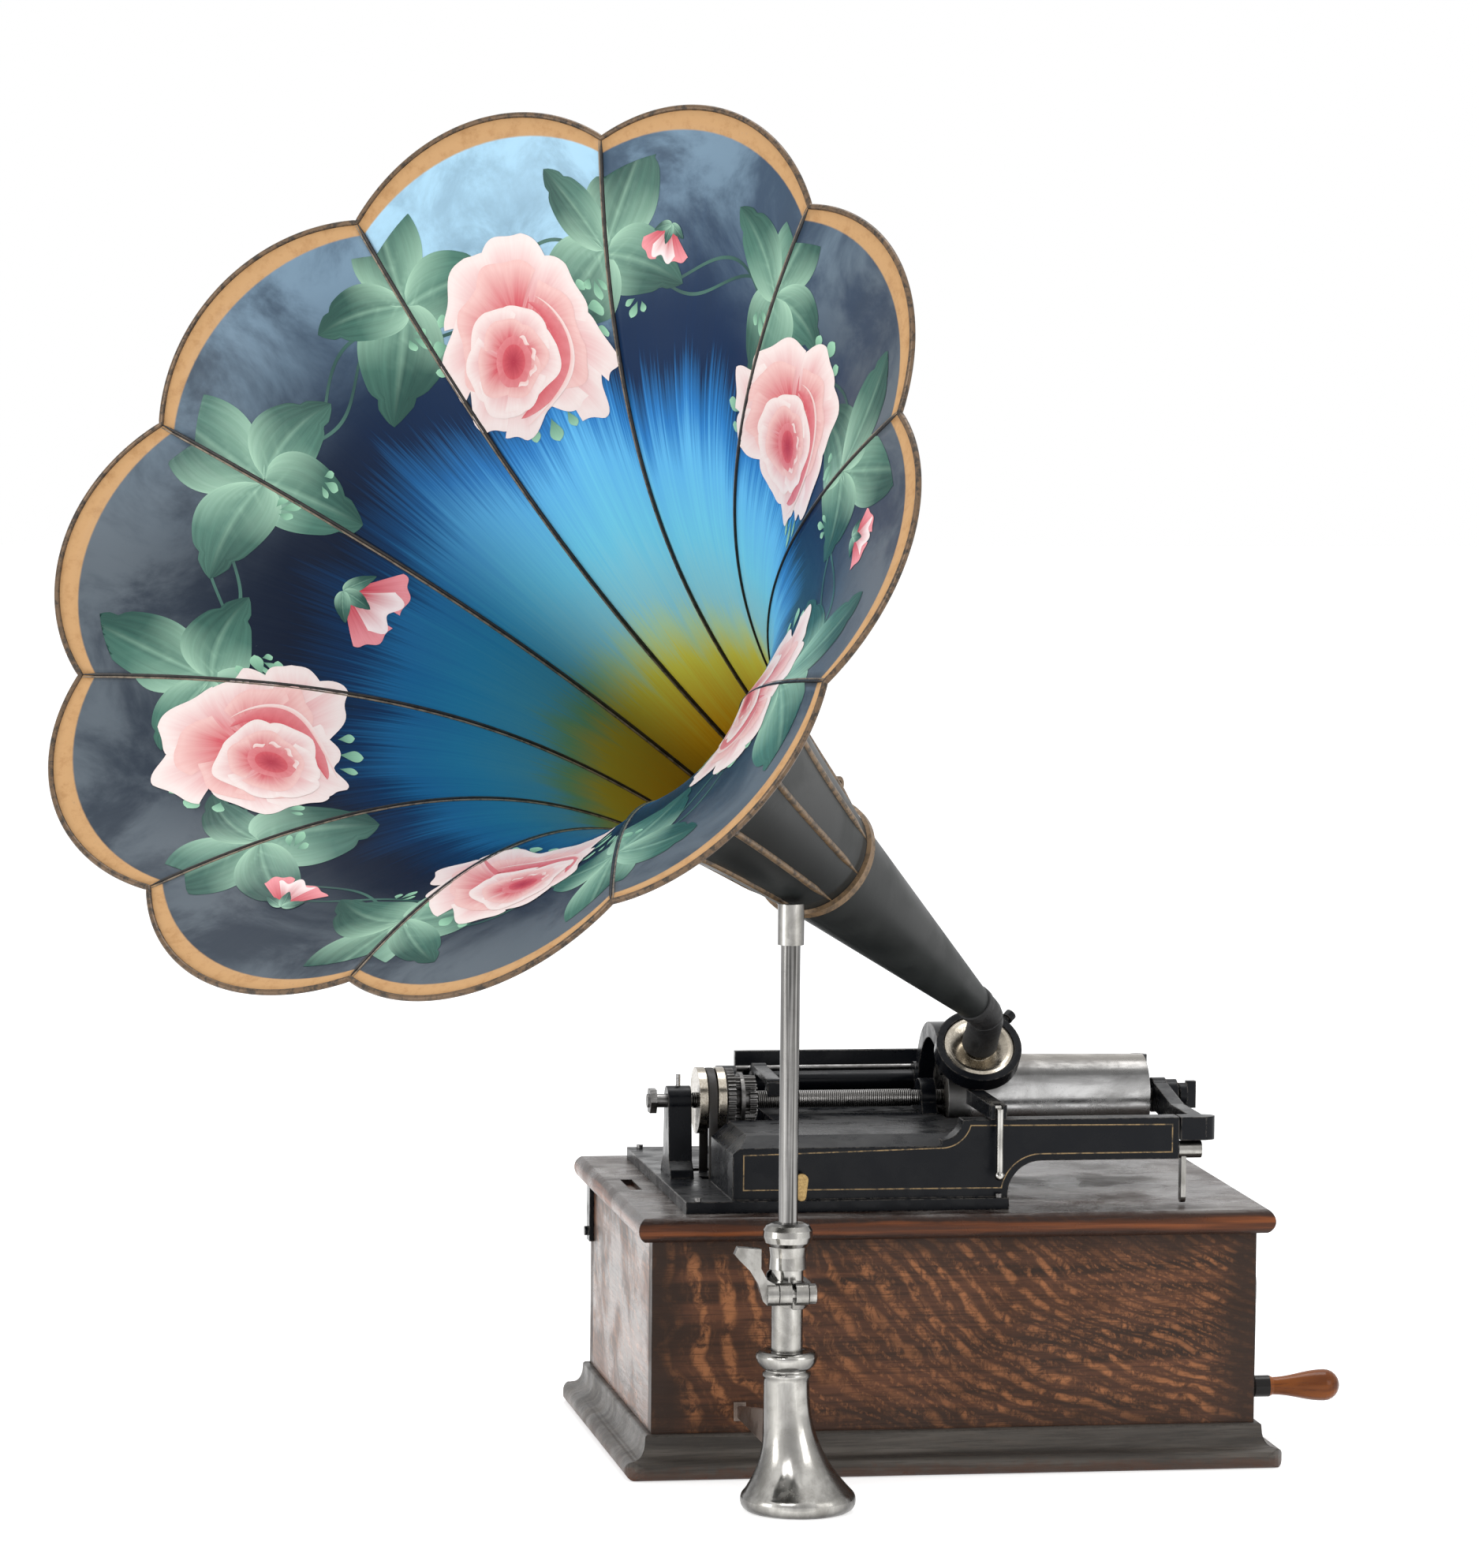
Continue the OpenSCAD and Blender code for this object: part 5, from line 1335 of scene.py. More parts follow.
@dataclass
class Garland:
    """Traditional garland of roses, buds and leaves, laid on the bell as brush strokes.

    A stroke is a grid on the flat sheet, in millimetres, with a colour at each point. Places are angle about
    the horn's axis and arc length from the ring. Each rose and bud is an angle, an arc length, a size and a
    turn. Heights are over the ground, and a coat is the step from one stroke to the next.
    """

    shape: HornShape
    roses: tuple = ((203.0, 294.0, 43.0, 112.0), (132.0, 289.0, 42.0, 56.0), (304.0, 300.0, 43.0, 125.0),
                    (15.0, 290.0, 42.0, 200.0), (72.0, 290.0, 42.0, 75.0))
    buds: tuple = ((171.0, 338.0, 15.0, 200.0), (266.0, 268.0, 24.0, 185.0), (341.0, 336.0, 17.0, 150.0),
                   (98.0, 334.0, 16.0, 20.0))
    knot_arc: float = 334.0
    leaf: float = 56.0
    coat: float = 0.012
    stem_height: float = 0.12
    leaf_height: float = 0.16
    drop_height: float = 0.22
    bud_height: float = 0.26
    rose_height: float = 0.30
    rim_w: float = 0.97
    seed: int = 7
    points: list = field(default_factory=list)
    faces: list = field(default_factory=list)
    charts: list = field(default_factory=list)
    colours: list = field(default_factory=list)
    count: int = 0

    def build(self) -> None:
        """Paints stems, leaves, buds and roses in that order, as one layer of paint."""
        self.rng = np.random.default_rng(self.seed)
        self.stems()
        for k in range(self.shape.petals):
            self.leaf_spray(self.shape.roll + 2 * self.shape.half * k)
        for place in self.buds:
            self.bud(*place)
        for place in self.roses:
            self.rose(*place)
        make_piece("horn_flowers", np.concatenate(self.points), np.concatenate(self.faces), Body.HORN,
                   "horn_paint", uv=np.concatenate(self.charts), paint=np.concatenate(self.colours),
                   finishes=(BrushPaint(),))

    def stroke(self, at: Sequence[float], x: np.ndarray, y: np.ndarray, colour: np.ndarray,
               lift: float) -> None:
        """Lays one stroke on the bell.

        Args:
            at: Angle, arc length and turn of the drawing.
            x: Place across on the drawing.
            y: Place outwards on the drawing.
            colour: Colour at each point.
            lift: Height over the ground.
        """
        theta0, arc0, turn = at
        c, s = np.cos(np.deg2rad(turn)), np.sin(np.deg2rad(turn))
        theta, w = self.shape.unroll(theta0, arc0, c * x - s * y, s * x + c * y)
        rows, columns = x.shape
        self.points.append(self.shape.point(theta, np.clip(w, 0.0, self.rim_w), -lift).reshape(-1, 3))
        self.faces.append(grid_faces(rows, columns) + self.count)
        a, b = spread(rows, columns, 0)
        number = len(self.charts)
        self.charts.append(np.stack([a + 3.7 * number, b + 1.3 * number], -1).reshape(-1, 2))
        self.colours.append(np.clip(colour, 0.0, 1.0).reshape(-1, 3))
        self.count += rows * columns

    @staticmethod
    def blend(share: np.ndarray, a: Colour, b: Colour) -> np.ndarray:
        """Returns colour a turned into colour b by a share at each point."""
        share = np.clip(share, 0.0, 1.0)[..., None]
        return np.array(a) * (1 - share) + np.array(b) * share

    def petal(self, at: Sequence[float], middle: float, half: float, low: float, high: float, inner: Colour,
              outer: Colour, lift: float, ragged: float = 0.03, centre: Sequence[float] = (0.0, 0.0),
              point: float = 0.0) -> None:
        """Paints one petal, a fan from low to high with a lip that falls away on both sides of one corner.

        Args:
            at: Angle, arc length and turn of the flower.
            middle: Direction of the petal in degrees.
            half: Half its spread in degrees.
            low: Radius where it starts.
            high: Radius of its tip.
            inner: Colour at its foot.
            outer: Colour at its lip.
            lift: Height over the ground.
            ragged: Depth of the notches in its lip.
            centre: Middle of the fan on the drawing.
            point: How sharply the lip falls away from its corner.
        """
        a, b = spread(12, 25)
        wave, tilt = self.rng.uniform(0, 6.28, 2)
        lip = 1 - 0.05 * b ** 2 + self.rng.uniform(-0.09, 0.09) * b + ragged * np.sin(1.9 * np.pi * b + wave)
        lip -= point * np.abs(b - self.rng.uniform(-0.55, 0.55))
        fan = np.deg2rad(middle + half * b * (0.55 + 0.45 * np.sqrt(a)))
        r = low + (high * lip - low) * a
        streak = 0.10 * np.sin(15 * b + wave) + 0.07 * np.sin(37 * b + tilt)
        fold = 0.30 * np.exp(-((b - 0.75 * np.sin(tilt)) / 0.22) ** 2) * (1 - a)
        colour = self.blend(a ** 1.35 * 1.15 + streak * (1 - a) - fold, inner, outer)
        self.stroke(at, centre[0] + r * np.cos(fan), centre[1] + r * np.sin(fan), colour, lift)

    def crescent(self, at: Sequence[float], centre: Sequence[float], radius: float, thick: float,
                 ends: Sequence[float], inner: Colour, outer: Colour, lift: float) -> None:
        """Paints a curved stroke, thickest at its middle and thin at both ends.

        Args:
            at: Angle, arc length and turn of the flower.
            centre: Middle of the curve on the drawing.
            radius: Radius of the curve.
            thick: Greatest thickness.
            ends: Directions of its ends in degrees.
            inner: Colour along its inner side.
            outer: Colour along its outer side.
            lift: Height over the ground.
        """
        a, b = spread(7, 33, 0)
        fan = np.deg2rad(ends[0] + (ends[1] - ends[0]) * b)
        r = radius * (1 + 0.06 * np.sin(2 * np.pi * b)) + thick * (a - 0.5) * np.sin(np.pi * b) ** 0.7
        self.stroke(at, centre[0] + r * np.cos(fan), centre[1] + 0.94 * r * np.sin(fan),
                    self.blend(a, inner, outer), lift)

    def disc(self, at: Sequence[float], centre: Sequence[float], radii: Sequence[float], middle: Colour,
             edge: Colour, lift: float, power: float = 1.5, ragged: float = 0.0) -> None:
        """Paints a filled oval whose colour changes from its middle to its edge.

        Args:
            at: Angle, arc length and turn of the flower.
            centre: Middle of the oval on the drawing.
            radii: Its two radii.
            middle: Colour at its middle.
            edge: Colour at its edge.
            lift: Height over the ground.
            power: How late the edge's colour comes.
            ragged: Depth of the waves of its edge.
        """
        a, b = np.meshgrid(np.linspace(0.02, 1, 14), np.linspace(0, 2 * np.pi, 49), indexing="ij")
        wave = 1 + ragged * (np.sin(5 * b + 1.0) + 0.6 * np.sin(11 * b))
        streak = 0.07 * np.sin(19 * b) * a
        x, y = (c + r * a * wave * way for c, r, way in zip(centre, radii, (np.cos(b), np.sin(b))))
        self.stroke(at, x, y, self.blend(a ** power + streak, middle, edge), lift)

    def rose(self, theta: float, arc: float, size: float, turn: float) -> None:
        """Paints a full rose from its outer petals in to its bowl and throat.

        Args:
            theta: Angle of its middle.
            arc: Arc length of its middle.
            size: Its radius.
            turn: Turn of the drawing.
        """
        at = (theta, arc, turn)
        deep, red, rose = (0.44, 0.030, 0.060), (0.66, 0.110, 0.135), (0.74, 0.255, 0.270)
        blush, white = (0.86, 0.560, 0.530), (0.90, 0.775, 0.745)
        for swing in (75.0, 190.0, 318.0):
            self.drops(theta, arc, turn + swing + self.rng.uniform(-12, 12), 11.0, size * 0.88, 13.0)
        self.disc(at, (0.0, 0.0), (0.72 * size, 0.72 * size), red, rose, self.rose_height - 0.01)
        lift = self.rose_height
        layers = (((118, 25, 1.04), (152, 24, 0.86), (78, 24, 1.02), (38, 28, 0.96), (350, 27, 1.03),
                   (305, 25, 1.05), (262, 28, 0.93), (212, 29, 0.90), (178, 22, 0.94)),
                  ((98, 36, 0.74), (46, 32, 0.72), (335, 33, 0.80), (285, 30, 0.76), (232, 34, 0.72),
                   (165, 32, 0.70)))
        looks = ((1.06, rose, white, 0.13), (1.03, red, blush, 0.10))
        for layer, (share, inner, outer, point) in zip(layers, looks):
            for middle, half, reach in layer:
                lift += self.coat
                self.petal(at, middle + self.rng.uniform(-5, 5), half, size * 0.22, size * reach * share,
                           inner, outer, lift, point=point)
        bowl = (-0.20 * size, -0.12 * size)
        self.crescent(at, bowl, 0.60 * size, 0.20 * size, (20.0, 172.0), red, rose, lift + self.coat)
        self.crescent(at, bowl, 0.70 * size, 0.05 * size, (24.0, 168.0), blush, white, lift + 2 * self.coat)
        self.disc(at, bowl, (0.44 * size, 0.42 * size), red, rose, lift + 3 * self.coat, 0.75)
        lift += 4 * self.coat
        cups = (((96, 52, 0.57), (28, 46, 0.55), (322, 44, 0.56), (262, 42, 0.55), (206, 44, 0.57),
                 (150, 38, 0.54)),
                ((62, 54, 0.42), (338, 50, 0.41), (232, 60, 0.42), (140, 52, 0.40)))
        for cup, inner, outer in zip(cups, (rose, red), (white, blush)):
            for middle, half, reach in cup:
                self.petal(at, middle + self.rng.uniform(-6, 6), half, size * 0.12, size * reach, inner,
                           outer, lift, centre=bowl, point=0.12)
                lift += self.coat
        throat = (bowl[0] - 0.04 * size, bowl[1] + 0.03 * size)
        self.disc(at, throat, (0.25 * size, 0.20 * size), red, rose, lift, 1.6, 0.02)
        self.disc(at, throat, (0.17 * size, 0.13 * size), deep, red, lift + self.coat, 1.4)
        for start in (18.0, 58.0, 98.0, 138.0):
            self.crescent(at, throat, 0.25 * size, 0.05 * size, (start, start + 32.0), blush, white,
                          lift + 2 * self.coat)

    def bud(self, theta: float, arc: float, size: float, turn: float) -> None:
        """Paints a half-open bud: three petals over green sepals.

        Args:
            theta: Angle of its middle.
            arc: Arc length of its middle.
            size: Its length.
            turn: Turn of the drawing.
        """
        at = (theta, arc, turn)
        red, pink, white = (0.52, 0.035, 0.065), (0.82, 0.30, 0.33), (0.92, 0.78, 0.77)
        for k, swing in enumerate((60.0, 122.0)):
            self.petal(at, swing, 24.0, size * 0.1, size * 1.15, red, pink,
                       self.bud_height + k * self.coat)
        self.petal(at, 90.0, 30.0, size * 0.08, size * 1.05, red, white, self.bud_height + 0.04, 0.10)
        for k, swing in enumerate((-62.0, 0.0, 62.0)):
            self.leaf_stroke((theta, arc, turn + swing), size * 0.62, size * 0.15,
                             self.bud_height + 0.07 + 0.01 * k, 0.1)

    def leaf_stroke(self, at: Sequence[float], length: float, width: float, lift: float, notch: float = 0.2,
                    light: float = 0.0) -> None:
        """Paints a leaf from its foot at the drawing's middle outwards.

        Its half-width follows a sine drawn towards the foot, with a notch before the tip.

        Args:
            at: Angle, arc length and turn of the foot.
            length: Length of the leaf.
            width: Its half-width.
            lift: Height over the ground.
            notch: Depth of the notches beside its tip.
            light: How much paler it is than the darkest leaves.
        """
        a, b = spread(30, 17)
        curl = self.rng.uniform(-0.10, 0.10) * length
        half = width * np.sin(np.pi * a ** 0.72) ** 0.75
        half *= 1 - notch * np.exp(-((a - 0.80) / 0.035) ** 2) * (np.abs(b) > 0.5)
        x = b * half + curl * a ** 2
        y = length * a
        dark, mid, mint = (0.014, 0.068, 0.054), (0.075, 0.205, 0.155), (0.410, 0.650, 0.490)
        foot = np.clip(1.12 - 1.9 * a, 0, 1) * np.abs(b) ** 0.6
        vein = np.exp(-(b / 0.05) ** 2) * np.clip(0.95 - a, 0, 1)
        side = np.exp(-((np.mod(5.0 * a - 1.3 * np.abs(b), 1.0) - 0.5) / 0.09) ** 2)
        side *= np.clip(0.7 - np.abs(b), 0, 1)
        streak = 0.14 * np.sin(19 * b + 5 * a) + 0.22 * np.tanh(4 * b) * np.sign(curl)
        colour = self.blend(1.05 - 1.1 * a + light + streak, dark, mid)
        pale = np.clip(foot + 0.65 * vein + 0.5 * side * np.clip(0.8 - a, 0, 1), 0, 1)
        self.stroke(at, x, y, colour + (np.array(mint) - colour) * pale[..., None], lift)

    def drops(self, theta: float, arc: float, turn: float, size: float = 9.0, off: float = 3.0,
              fan: float = 42.0) -> None:
        """Paints a sprig of three mint drops.

        Args:
            theta: Angle of its foot.
            arc: Arc length of its foot.
            turn: Direction of the sprig.
            size: Length of the middle drop.
            off: How far from the foot the drops start.
            fan: Angle between them.
        """
        a, b = spread(12, 9)
        for swing, share in ((-fan, 0.72), (0.0, 1.0), (fan, 0.72)):
            long = size * share
            half = long * 0.30 * np.sin(np.pi * a ** 1.7) ** 0.8
            colour = self.blend(a, (0.10, 0.26, 0.18), (0.36, 0.66, 0.46))
            self.stroke((theta, arc, turn + swing), b * half, off + long * a, colour, self.drop_height)

    def leaf_spray(self, theta: float) -> None:
        """Paints the leaves that meet at a knot on a seam, and a sprig of drops.

        Args:
            theta: Angle of the knot.
        """
        base = self.rng.uniform(-25.0, 25.0)
        arc = self.knot_arc + self.rng.uniform(-8.0, 8.0)
        for k, swing in enumerate((20.0, 118.0, 206.0, 292.0)):
            length = self.leaf * self.rng.uniform(0.85, 1.12) * (0.82 if k % 2 else 1.0)
            at = (theta + self.rng.uniform(-0.6, 0.6), arc, base + swing + self.rng.uniform(-14, 14))
            self.leaf_stroke(at, length, length * self.rng.uniform(0.31, 0.36),
                             self.leaf_height + k * self.coat, 0.22, self.rng.uniform(-0.1, 0.25))
        self.drops(theta + self.rng.uniform(2, 5), arc - 14, 150 + base)
        self.drops(theta - self.rng.uniform(3, 7), arc - 26, 200 + base, 7.5)

    def stems(self) -> None:
        """Paints two thin stems that wind round the bell through the knots."""
        turn = np.linspace(0.0, 360.0, 721)
        for k, (phase, swing) in enumerate(((0.0, 11.0), (1.1, 14.0))):
            arc = self.knot_arc - 12 + swing * np.sin(np.deg2rad(turn) * 10 + phase)
            w = np.interp(arc[:, None] + np.linspace(-0.8, 0.8, 3), self.shape.arc_table, self.shape.w_table)
            theta = np.broadcast_to(turn[:, None] + self.shape.roll, w.shape)
            colour = self.blend(0.5 + 0.5 * np.sin(np.deg2rad(turn) * 23)[:, None] * np.ones((1, 3)),
                                (0.018, 0.070, 0.062), (0.055, 0.150, 0.120))
            self.points.append(self.shape.point(theta, w, -self.stem_height - 0.01 * k).reshape(-1, 3))
            self.faces.append(grid_faces(len(turn), 3, flip=True) + self.count)
            self.charts.append(np.stack([theta / 36.0, w], -1).reshape(-1, 2))
            self.colours.append(colour.reshape(-1, 3))
            self.count += w.size


@dataclass
class Belt:
    """Leather belt round the two pulleys, with rounded edges, glued end to end."""

    middle_x: float = -109.0
    low_z: float = 84.917
    high_z: float = 175.0
    inner: float = 14.9
    thick: float = 1.8
    width: float = 4.6
    steps: int = 40
    rises: int = 24
    sides: int = 20

    def build(self) -> None:
        """Builds the closed loop, which takes the drawn belt's place."""
        half = np.linspace(0.0, np.pi, self.steps)
        rise = np.linspace(0.0, 1.0, self.rises)[1:-1]
        parts = []
        for sign, start, end in ((1.0, self.high_z, self.low_z), (-1.0, self.low_z, self.high_z)):
            parts += [np.stack([sign * np.cos(half), sign * np.sin(half), np.full_like(half, start)], -1),
                      np.stack([np.full_like(rise, -sign), 0 * rise, start + (end - start) * rise], -1)]
        loop = np.concatenate(parts)
        turn = full_turn(self.sides)
        across, out = (np.sign(v) * np.abs(v) ** 0.5 / 2 for v in (np.cos(turn), np.sin(turn)))
        radius = self.inner + self.thick / 2 + self.thick * out
        rings = np.empty((len(loop), self.sides, 3))
        rings[..., 0] = self.middle_x + self.width * across
        rings[..., 1] = loop[:, :1] * radius
        rings[..., 2] = loop[:, 2:] + loop[:, 1:2] * radius
        piece = make_piece("belt_band", *tube(rings), Body.CABINET, "belt_leather",
                           finishes=(Pliant("belt_leather", (0.016, 0.014, 0.013), (0.050, 0.044, 0.038)),))
        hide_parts("drive_belt")


@dataclass
class StandFoot:
    """Plated foot of the horn's stand: a bell swept to one side, then a tube with a collar and a cup."""

    axis: tuple = (-102.0, -201.0)
    off: float = 6.2
    foot_r: float = 28.3
    lip_r: float = 5.8
    tube_r: float = 11.2
    tube_h: float = 66.0
    cup_z: float = 70.0
    cup_r: float = 15.2
    cup_h: float = 8.8
    bore: float = 7.72
    sides: int = 96

    def outline(self) -> np.ndarray:
        """Draws the foot's two sides from the underside up and down the bore.

        Returns:
            Rows of left side, right side and height.
        """
        turn = np.deg2rad(np.linspace(-90.0, 50.0, 15))
        lip = self.foot_r - self.lip_r + self.lip_r * np.cos(turn)
        rows = [np.stack([self.off - lip, self.off + lip, self.lip_r + self.lip_r * np.sin(turn)], -1)]
        first = rows[0][-1]
        z = np.linspace(first[2], self.tube_h, 34)[1:]
        up = (z - first[2]) / (self.tube_h - first[2])
        left = -self.tube_r + (first[0] + self.tube_r) * np.clip(1 - 1.9 * up, 0, 1) ** 2.2
        right = self.tube_r + (first[1] - self.tube_r) * (1 - up) ** 2.6
        rows.append(np.stack([left, right, z], -1))
        t, top, cup = self.tube_r, self.cup_z, self.cup_h
        ring = ((t + 0.5, self.tube_h + 0.4), (t + 0.7, self.tube_h + 1.4), (t + 0.5, self.tube_h + 2.3),
                (t - 0.8, self.tube_h + 3.0), (t - 0.8, top), (t + 0.6, top + 0.4), (t + 2.0, top + 1.7),
                (self.cup_r - 0.6, top + cup * 0.45), (self.cup_r, top + cup * 0.68),
                (self.cup_r - 0.3, top + cup * 0.86), (self.cup_r - 1.6, top + cup), (self.bore, top + cup),
                (self.bore, 0.0))
        radius, height = np.array(ring).T
        rows.append(np.stack([-radius, radius, height], -1))
        return np.concatenate(rows)

    def build(self) -> None:
        """Builds the foot, which takes the drawn foot's place."""
        left, right, height = (column[:, None] for column in self.outline().T)
        turn, radius = full_turn(self.sides), (right - left) / 2
        rings = np.empty((len(height), self.sides, 3))
        rings[..., 0] = self.axis[0] + (left + right) / 2 + radius * np.cos(turn)
        rings[..., 1] = self.axis[1] + radius * np.sin(turn)
        rings[..., 2] = height
        faces = grid_faces(len(height), self.sides, closed=True)
        piece = make_piece("stand_foot_bell", rings.reshape(-1, 3), faces, Body.CABINET, "nickel",
                           finishes=(NICKEL,))
        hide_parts("stand_foot")


@dataclass
class Pinstripes:
    """Gold lines on the front of the bed, following its ogee, rail and cove."""

    face_y: float = -96.07
    width: float = 0.6
    left: float = -106.5
    low: float = 142.0
    panel_top: float = 159.5
    rail_top: float = 172.5
    rail_low: float = 158.5
    right: float = 112.5
    ogee_x: float = -6.0
    ogee_z: float = 177.5
    ogee_r: float = 15.5
    cove_x: float = 45.0
    cove_z: float = 138.0
    cove_r: float = 20.5

    def outline(self) -> np.ndarray:
        """Draws the closed line: left side, panel, ogee, rail, cove and foot.

        Returns:
            Its points in x and z.
        """
        ogee = np.deg2rad(np.linspace(-86, -16, 14))
        cove = np.deg2rad(np.linspace(92, 170, 16))
        round_ogee = self.ogee_r * np.stack([np.cos(ogee), np.sin(ogee)], -1)
        round_cove = self.cove_r * np.stack([np.cos(cove), np.sin(cove)], -1)
        return np.concatenate([[(self.left, self.low), (self.left, self.panel_top)],
                               (self.ogee_x, self.ogee_z) + round_ogee,
                               [(self.right, self.rail_top), (self.right, self.rail_low)],
                               (self.cove_x, self.cove_z) + round_cove])

    def build(self) -> None:
        """Builds the line as one flat ribbon on the casting's front face."""
        line = self.outline()
        before, after = unit(line - np.roll(line, 1, 0)), unit(np.roll(line, -1, 0) - line)
        ahead = unit(before + after)
        side = np.stack([-ahead[:, 1], ahead[:, 0]], -1)
        mitre = self.width / 2 / np.clip((before * ahead).sum(1), 0.5, 1)
        edges = np.stack([line + side * mitre[:, None], line - side * mitre[:, None]], 1)
        edges = np.concatenate([edges, edges[:1]])
        points = np.insert(edges.reshape(-1, 2), 1, self.face_y, axis=1)
        make_piece("bed_lines", points, grid_faces(len(edges), 2), Body.CABINET, "black_enamel",
                   finishes=(Line("bed_line", (0.33, 0.22, 0.10), (0.02, 0.018, 0.015), wear=0.9),))


class Dresser:
    """Gives the listed drawn nodes their finishes."""

    def __init__(self) -> None:
        """Lists the finishes and the nodes that wear them."""
        self.plan: list[tuple[Finish, tuple[str, ...]]] = [
            (Oak("oak_front", Grain.ALONG_X, mid=(0.162, 0.067, 0.036), deep=(0.034, 0.019, 0.013),
                 flake=(0.455, 0.185, 0.078), bordered=0.9), ("case_front", "case_back")),
            # sides: lighter than the front's oak, painted light for the lit left side; the right side wears the
            # same
            (Oak("oak_side", Grain.ALONG_Y, flakes=0.8, mid=(0.205, 0.090, 0.050), deep=(0.052, 0.029, 0.020),
                 flake=(0.400, 0.170, 0.078), grime=0.3, gloss=0.42, varnish=0.0, roughness=0.3),
             ("case_left", "case_right")),
            # top board: the dust on its top also paints the top's sheen
            (Oak("oak_board", Grain.ALONG_X, flakes=0.35, mid=(0.150, 0.062, 0.034), grime=0.4, dust_and_sheen_share=0.8,
                 gloss=0.2, nose=0.1245, roughness=0.24, shift=(0.03, 0.05, 0.0)), ("top_board",)),
            (Oak("oak_base", Grain.ALONG_X, flakes=0.12, mid=(0.160, 0.142, 0.124),
                 deep=(0.050, 0.044, 0.039), flake=(0.190, 0.140, 0.105), chipped=0.85, roughness=0.36),
             ("base_moulding", "bottom_board")),
            # bed casting: the dust on its deck also paints the deck's sheen
            (Enamel("bed_enamel", dust_and_sheen_amount=0.55), ("bed_casting",)),
            (Enamel(), ("pivot_post", "centre_bearing", "rear_guard", "carrier_arm", "end_gate",
                        "feed_nut_arm", "lid_hinges", "lid_stay", "gate_hinge_pin", "lock_screw",
                        "gate_screw")),
            (NICKEL, ("stand_foot", "stand_sleeve", "stand_clamp", "stand_nut", "clamp_screw", "stand_saddle",
                      "stylus_weight", "lift_lever", "gate_latch")),
            (Metal("warm_nickel", (0.72, 0.66, 0.56), (0.30, 0.255, 0.19), roughness=0.18, spread=0.16,
                   tarnished=0.45, painted_reflection_share=0.55),
             ("reproducer", "mandrel_pulley")),
            # mandrel: its facing stops paint a bright line on top and a dark band below it, a painted
            # reflection
            (Metal("mandrel_nickel", (0.76, 0.755, 0.745), (0.22, 0.215, 0.21), roughness=0.2, tarnished=0.75,
                   lines=(34, 160, 160), streaks=0.45, painted_reflection_share=0.9, rough_scale=28.0,
                   sheen=((0.0, (1.0, 1.0, 1.0)), (0.05, (0.82, 0.82, 0.83)), (0.16, (0.17, 0.17, 0.17)),
                          (0.42, (0.22, 0.21, 0.20)), (0.66, (0.70, 0.66, 0.60)), (1.0, (0.85, 0.80, 0.74)))),
             ("mandrel",)),
            # stand rod: its near-black streaks are partly tarnish and partly painted dark reflections
            (Metal("rod_nickel", (0.44, 0.43, 0.415), (0.040, 0.038, 0.036), roughness=0.12, spread=0.12,
                   tarnished=0.15, lines=(330, 330, 4), streaks=0.95, painted_reflection_share=0.75), ("stand_rod",)),
            (Metal("strut_steel", (0.34, 0.27, 0.23), (0.16, 0.125, 0.105), roughness=0.34, spread=0.2,
                   tarnished=0.7, painted_reflection_share=0.2),
             ("stand_strut",)),
            (Metal("steel", (0.36, 0.355, 0.35), (0.085, 0.078, 0.070), roughness=0.24, spread=0.2,
                   tarnished=0.55, lines=(300, 900, 900)),
             ("back_rod", "rear_rail", "change_gear", "pivot_screw", "bed_screws", "winding_shaft",
              "crank_arm", "barrel_arbor", "mainspring", "motor_shaft", "motor_pulley", "motor_plate_left",
              "motor_plate_right", "motor_pillars")),
            (Thread(), ("main_shaft",)),
            (Metal("brass", (0.46, 0.315, 0.135), (0.17, 0.105, 0.045), roughness=0.28, spread=0.2,
                   tarnished=0.6),
             ("crank_escutcheon", "start_lever", "spring_barrel", "governor", "carriage_bush")),
            (Turned(), ("crank_grip",)),
            (Japan("neck_japan"), ("horn_neck",)),
            (Line("ring_bronze", (0.23, 0.145, 0.075), (0.05, 0.04, 0.03), wear=0.6), ("horn_ring",)),
        ]

    def dress(self) -> None:
        """Puts each finish on its nodes."""
        for finish, nodes in self.plan:
            material = finish.material()
            for name in nodes:
                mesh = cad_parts[name].data
                mesh.materials.clear()
                mesh.materials.append(material)
            LOG.info("finish %s on %d nodes", finish.name, len(nodes))


@dataclass
class Lamp:
    """One soft area lamp."""

    name: str
    place: Sequence[float]
    aim: Sequence[float]
    size: Sequence[float]
    watts: float


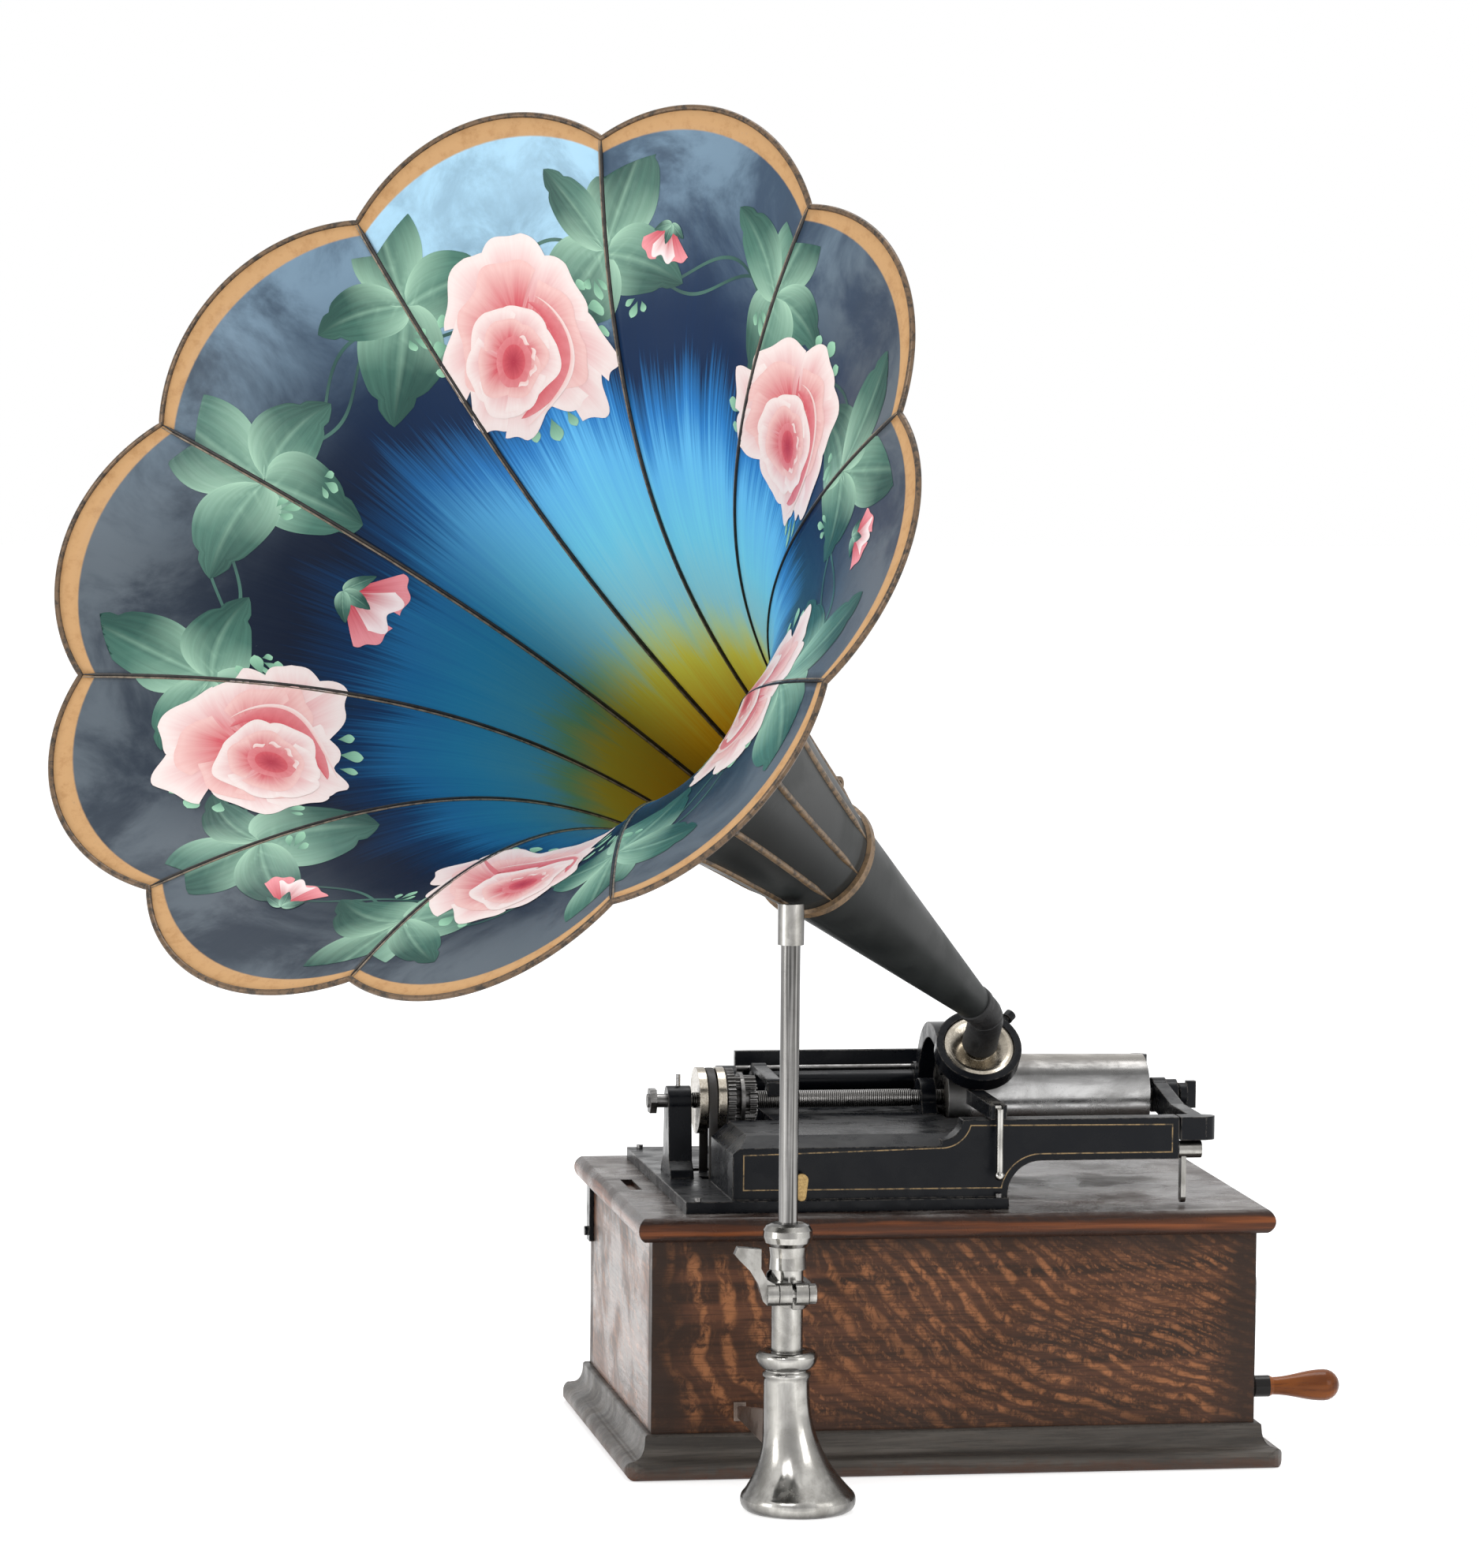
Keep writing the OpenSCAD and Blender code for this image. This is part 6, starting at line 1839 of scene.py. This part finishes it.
@dataclass
class Studio:
    """Pale floor, soft lamps and the camera at the photograph's view."""

    yaw: float = 9.40
    pitch: float = 4.86
    roll: float = 0.53
    focal_px: float = 8714.0
    frame_px: tuple[int, int] = (1875, 1988)
    place: tuple = (-666.0, -3452.0, 635.0)
    sensor: float = 36.0
    world: float = 0.55
    floor_reach: float = 9.0
    clip_end: float = 60.0
    lamps: tuple = (
        Lamp("key", place=(-1.5, -2.4, 2.2), aim=(0.0, -0.1, 0.2), size=(1.4, 1.4), watts=42.0),
        Lamp("fill", place=(2.2, -2.2, 1.2), aim=(0.0, -0.1, 0.2), size=(1.6, 1.6), watts=16.0),
        Lamp("side", place=(-2.6, -0.9, 0.45), aim=(-0.25, -0.35, 0.5), size=(0.9, 1.0), watts=12.0),
        Lamp("top", place=(0.2, 0.6, 2.6), aim=(0.0, 0.0, 0.2), size=(1.6, 1.2), watts=26.0),
    )

    def build(self) -> None:
        """Builds floor, lamps, world and camera."""
        self.floor()
        self.light()
        self.camera()

    def floor(self) -> None:
        """Floor that shows white to the camera and keeps the object's shadow."""
        mesh = bpy.data.meshes.new("floor")
        r = self.floor_reach
        mesh.from_pydata([(-r, -r, 0), (r, -r, 0), (r, r, 0), (-r, r, 0)], [], [(0, 1, 2, 3)])
        mesh.materials.append(FloorWhite().material())
        floor = bpy.data.objects.new("floor", mesh)
        bpy.context.scene.collection.objects.link(floor)

    def light(self) -> None:
        """World and lamps at a plain level, with a white background for the camera."""
        world = bpy.data.worlds.new("studio")
        bpy.context.scene.world = world
        world.use_nodes = True
        g = Graph(world.node_tree)
        back = world.node_tree.nodes["Background"]
        path = g.add("ShaderNodeLightPath").outputs
        seen = g.most(g.most(path["Is Camera Ray"], path["Is Transmission Ray"]), path["Is Glossy Ray"])
        back.inputs["Color"].default_value = (1.0, 1.0, 1.0, 1.0)
        g.feed(back.inputs["Strength"], g.band(seen, 0.0, 1.0, self.world, 1.0))
        for lamp in self.lamps:
            data = bpy.data.lights.new(lamp.name, "AREA")
            data.shape, data.size, data.size_y, data.energy = "RECTANGLE", *lamp.size, lamp.watts
            item = bpy.data.objects.new(lamp.name, data)
            away = unit(np.subtract(lamp.place, lamp.aim))
            side = unit(np.cross((0.0, 0.0, 1.0), away))
            item.matrix_world = self.pose(side, np.cross(away, side), away, lamp.place)
            bpy.context.scene.collection.objects.link(item)

    @staticmethod
    def pose(side: np.ndarray, up: np.ndarray, back: np.ndarray, place: Sequence[float]) -> Matrix:
        """Sets up an object's place and axes.

        Args:
            side: Its x axis.
            up: Its y axis.
            back: Its z axis.
            place: Its place in metres.

        Returns:
            The object's matrix.
        """
        rows = np.eye(4)
        rows[:3, :3] = np.stack([side, up, back], -1)
        rows[:3, 3] = place
        return Matrix(rows.tolist())

    def camera(self) -> None:
        """Camera fitted to the cabinet's straight edges in the photograph."""
        yaw, pitch, roll = np.deg2rad((self.yaw, self.pitch, self.roll))
        ahead = np.array([np.sin(yaw) * np.cos(pitch), np.cos(yaw) * np.cos(pitch), -np.sin(pitch)])
        right = np.array([np.cos(yaw), -np.sin(yaw), 0.0])
        up = np.cross(right, ahead)
        side = np.cos(roll) * right + np.sin(roll) * up
        top = np.cos(roll) * up - np.sin(roll) * right
        data = bpy.data.cameras.new("camera")
        data.sensor_width = self.sensor
        data.lens = self.focal_px / max(self.frame_px) * self.sensor
        data.clip_end = self.clip_end
        camera = bpy.data.objects.new("camera", data)
        camera.matrix_world = self.pose(side, top, -ahead, np.array(self.place) * MM)
        bpy.context.scene.collection.objects.link(camera)
        bpy.context.scene.camera = camera
        bpy.context.scene.view_settings.view_transform = "Standard"


def main() -> None:
    """Dresses the drawn nodes, adds the new pieces and sets the studio."""
    logging.basicConfig(level=logging.INFO, format="%(name)s: %(message)s")
    Dresser().dress()
    shape = HornShape()
    Horn(shape).build()
    Elbow(shape).build()
    Garland(shape).build()
    Belt().build()
    StandFoot().build()
    Pinstripes().build()
    Studio().build()


if __name__ == "__main__":
    main()
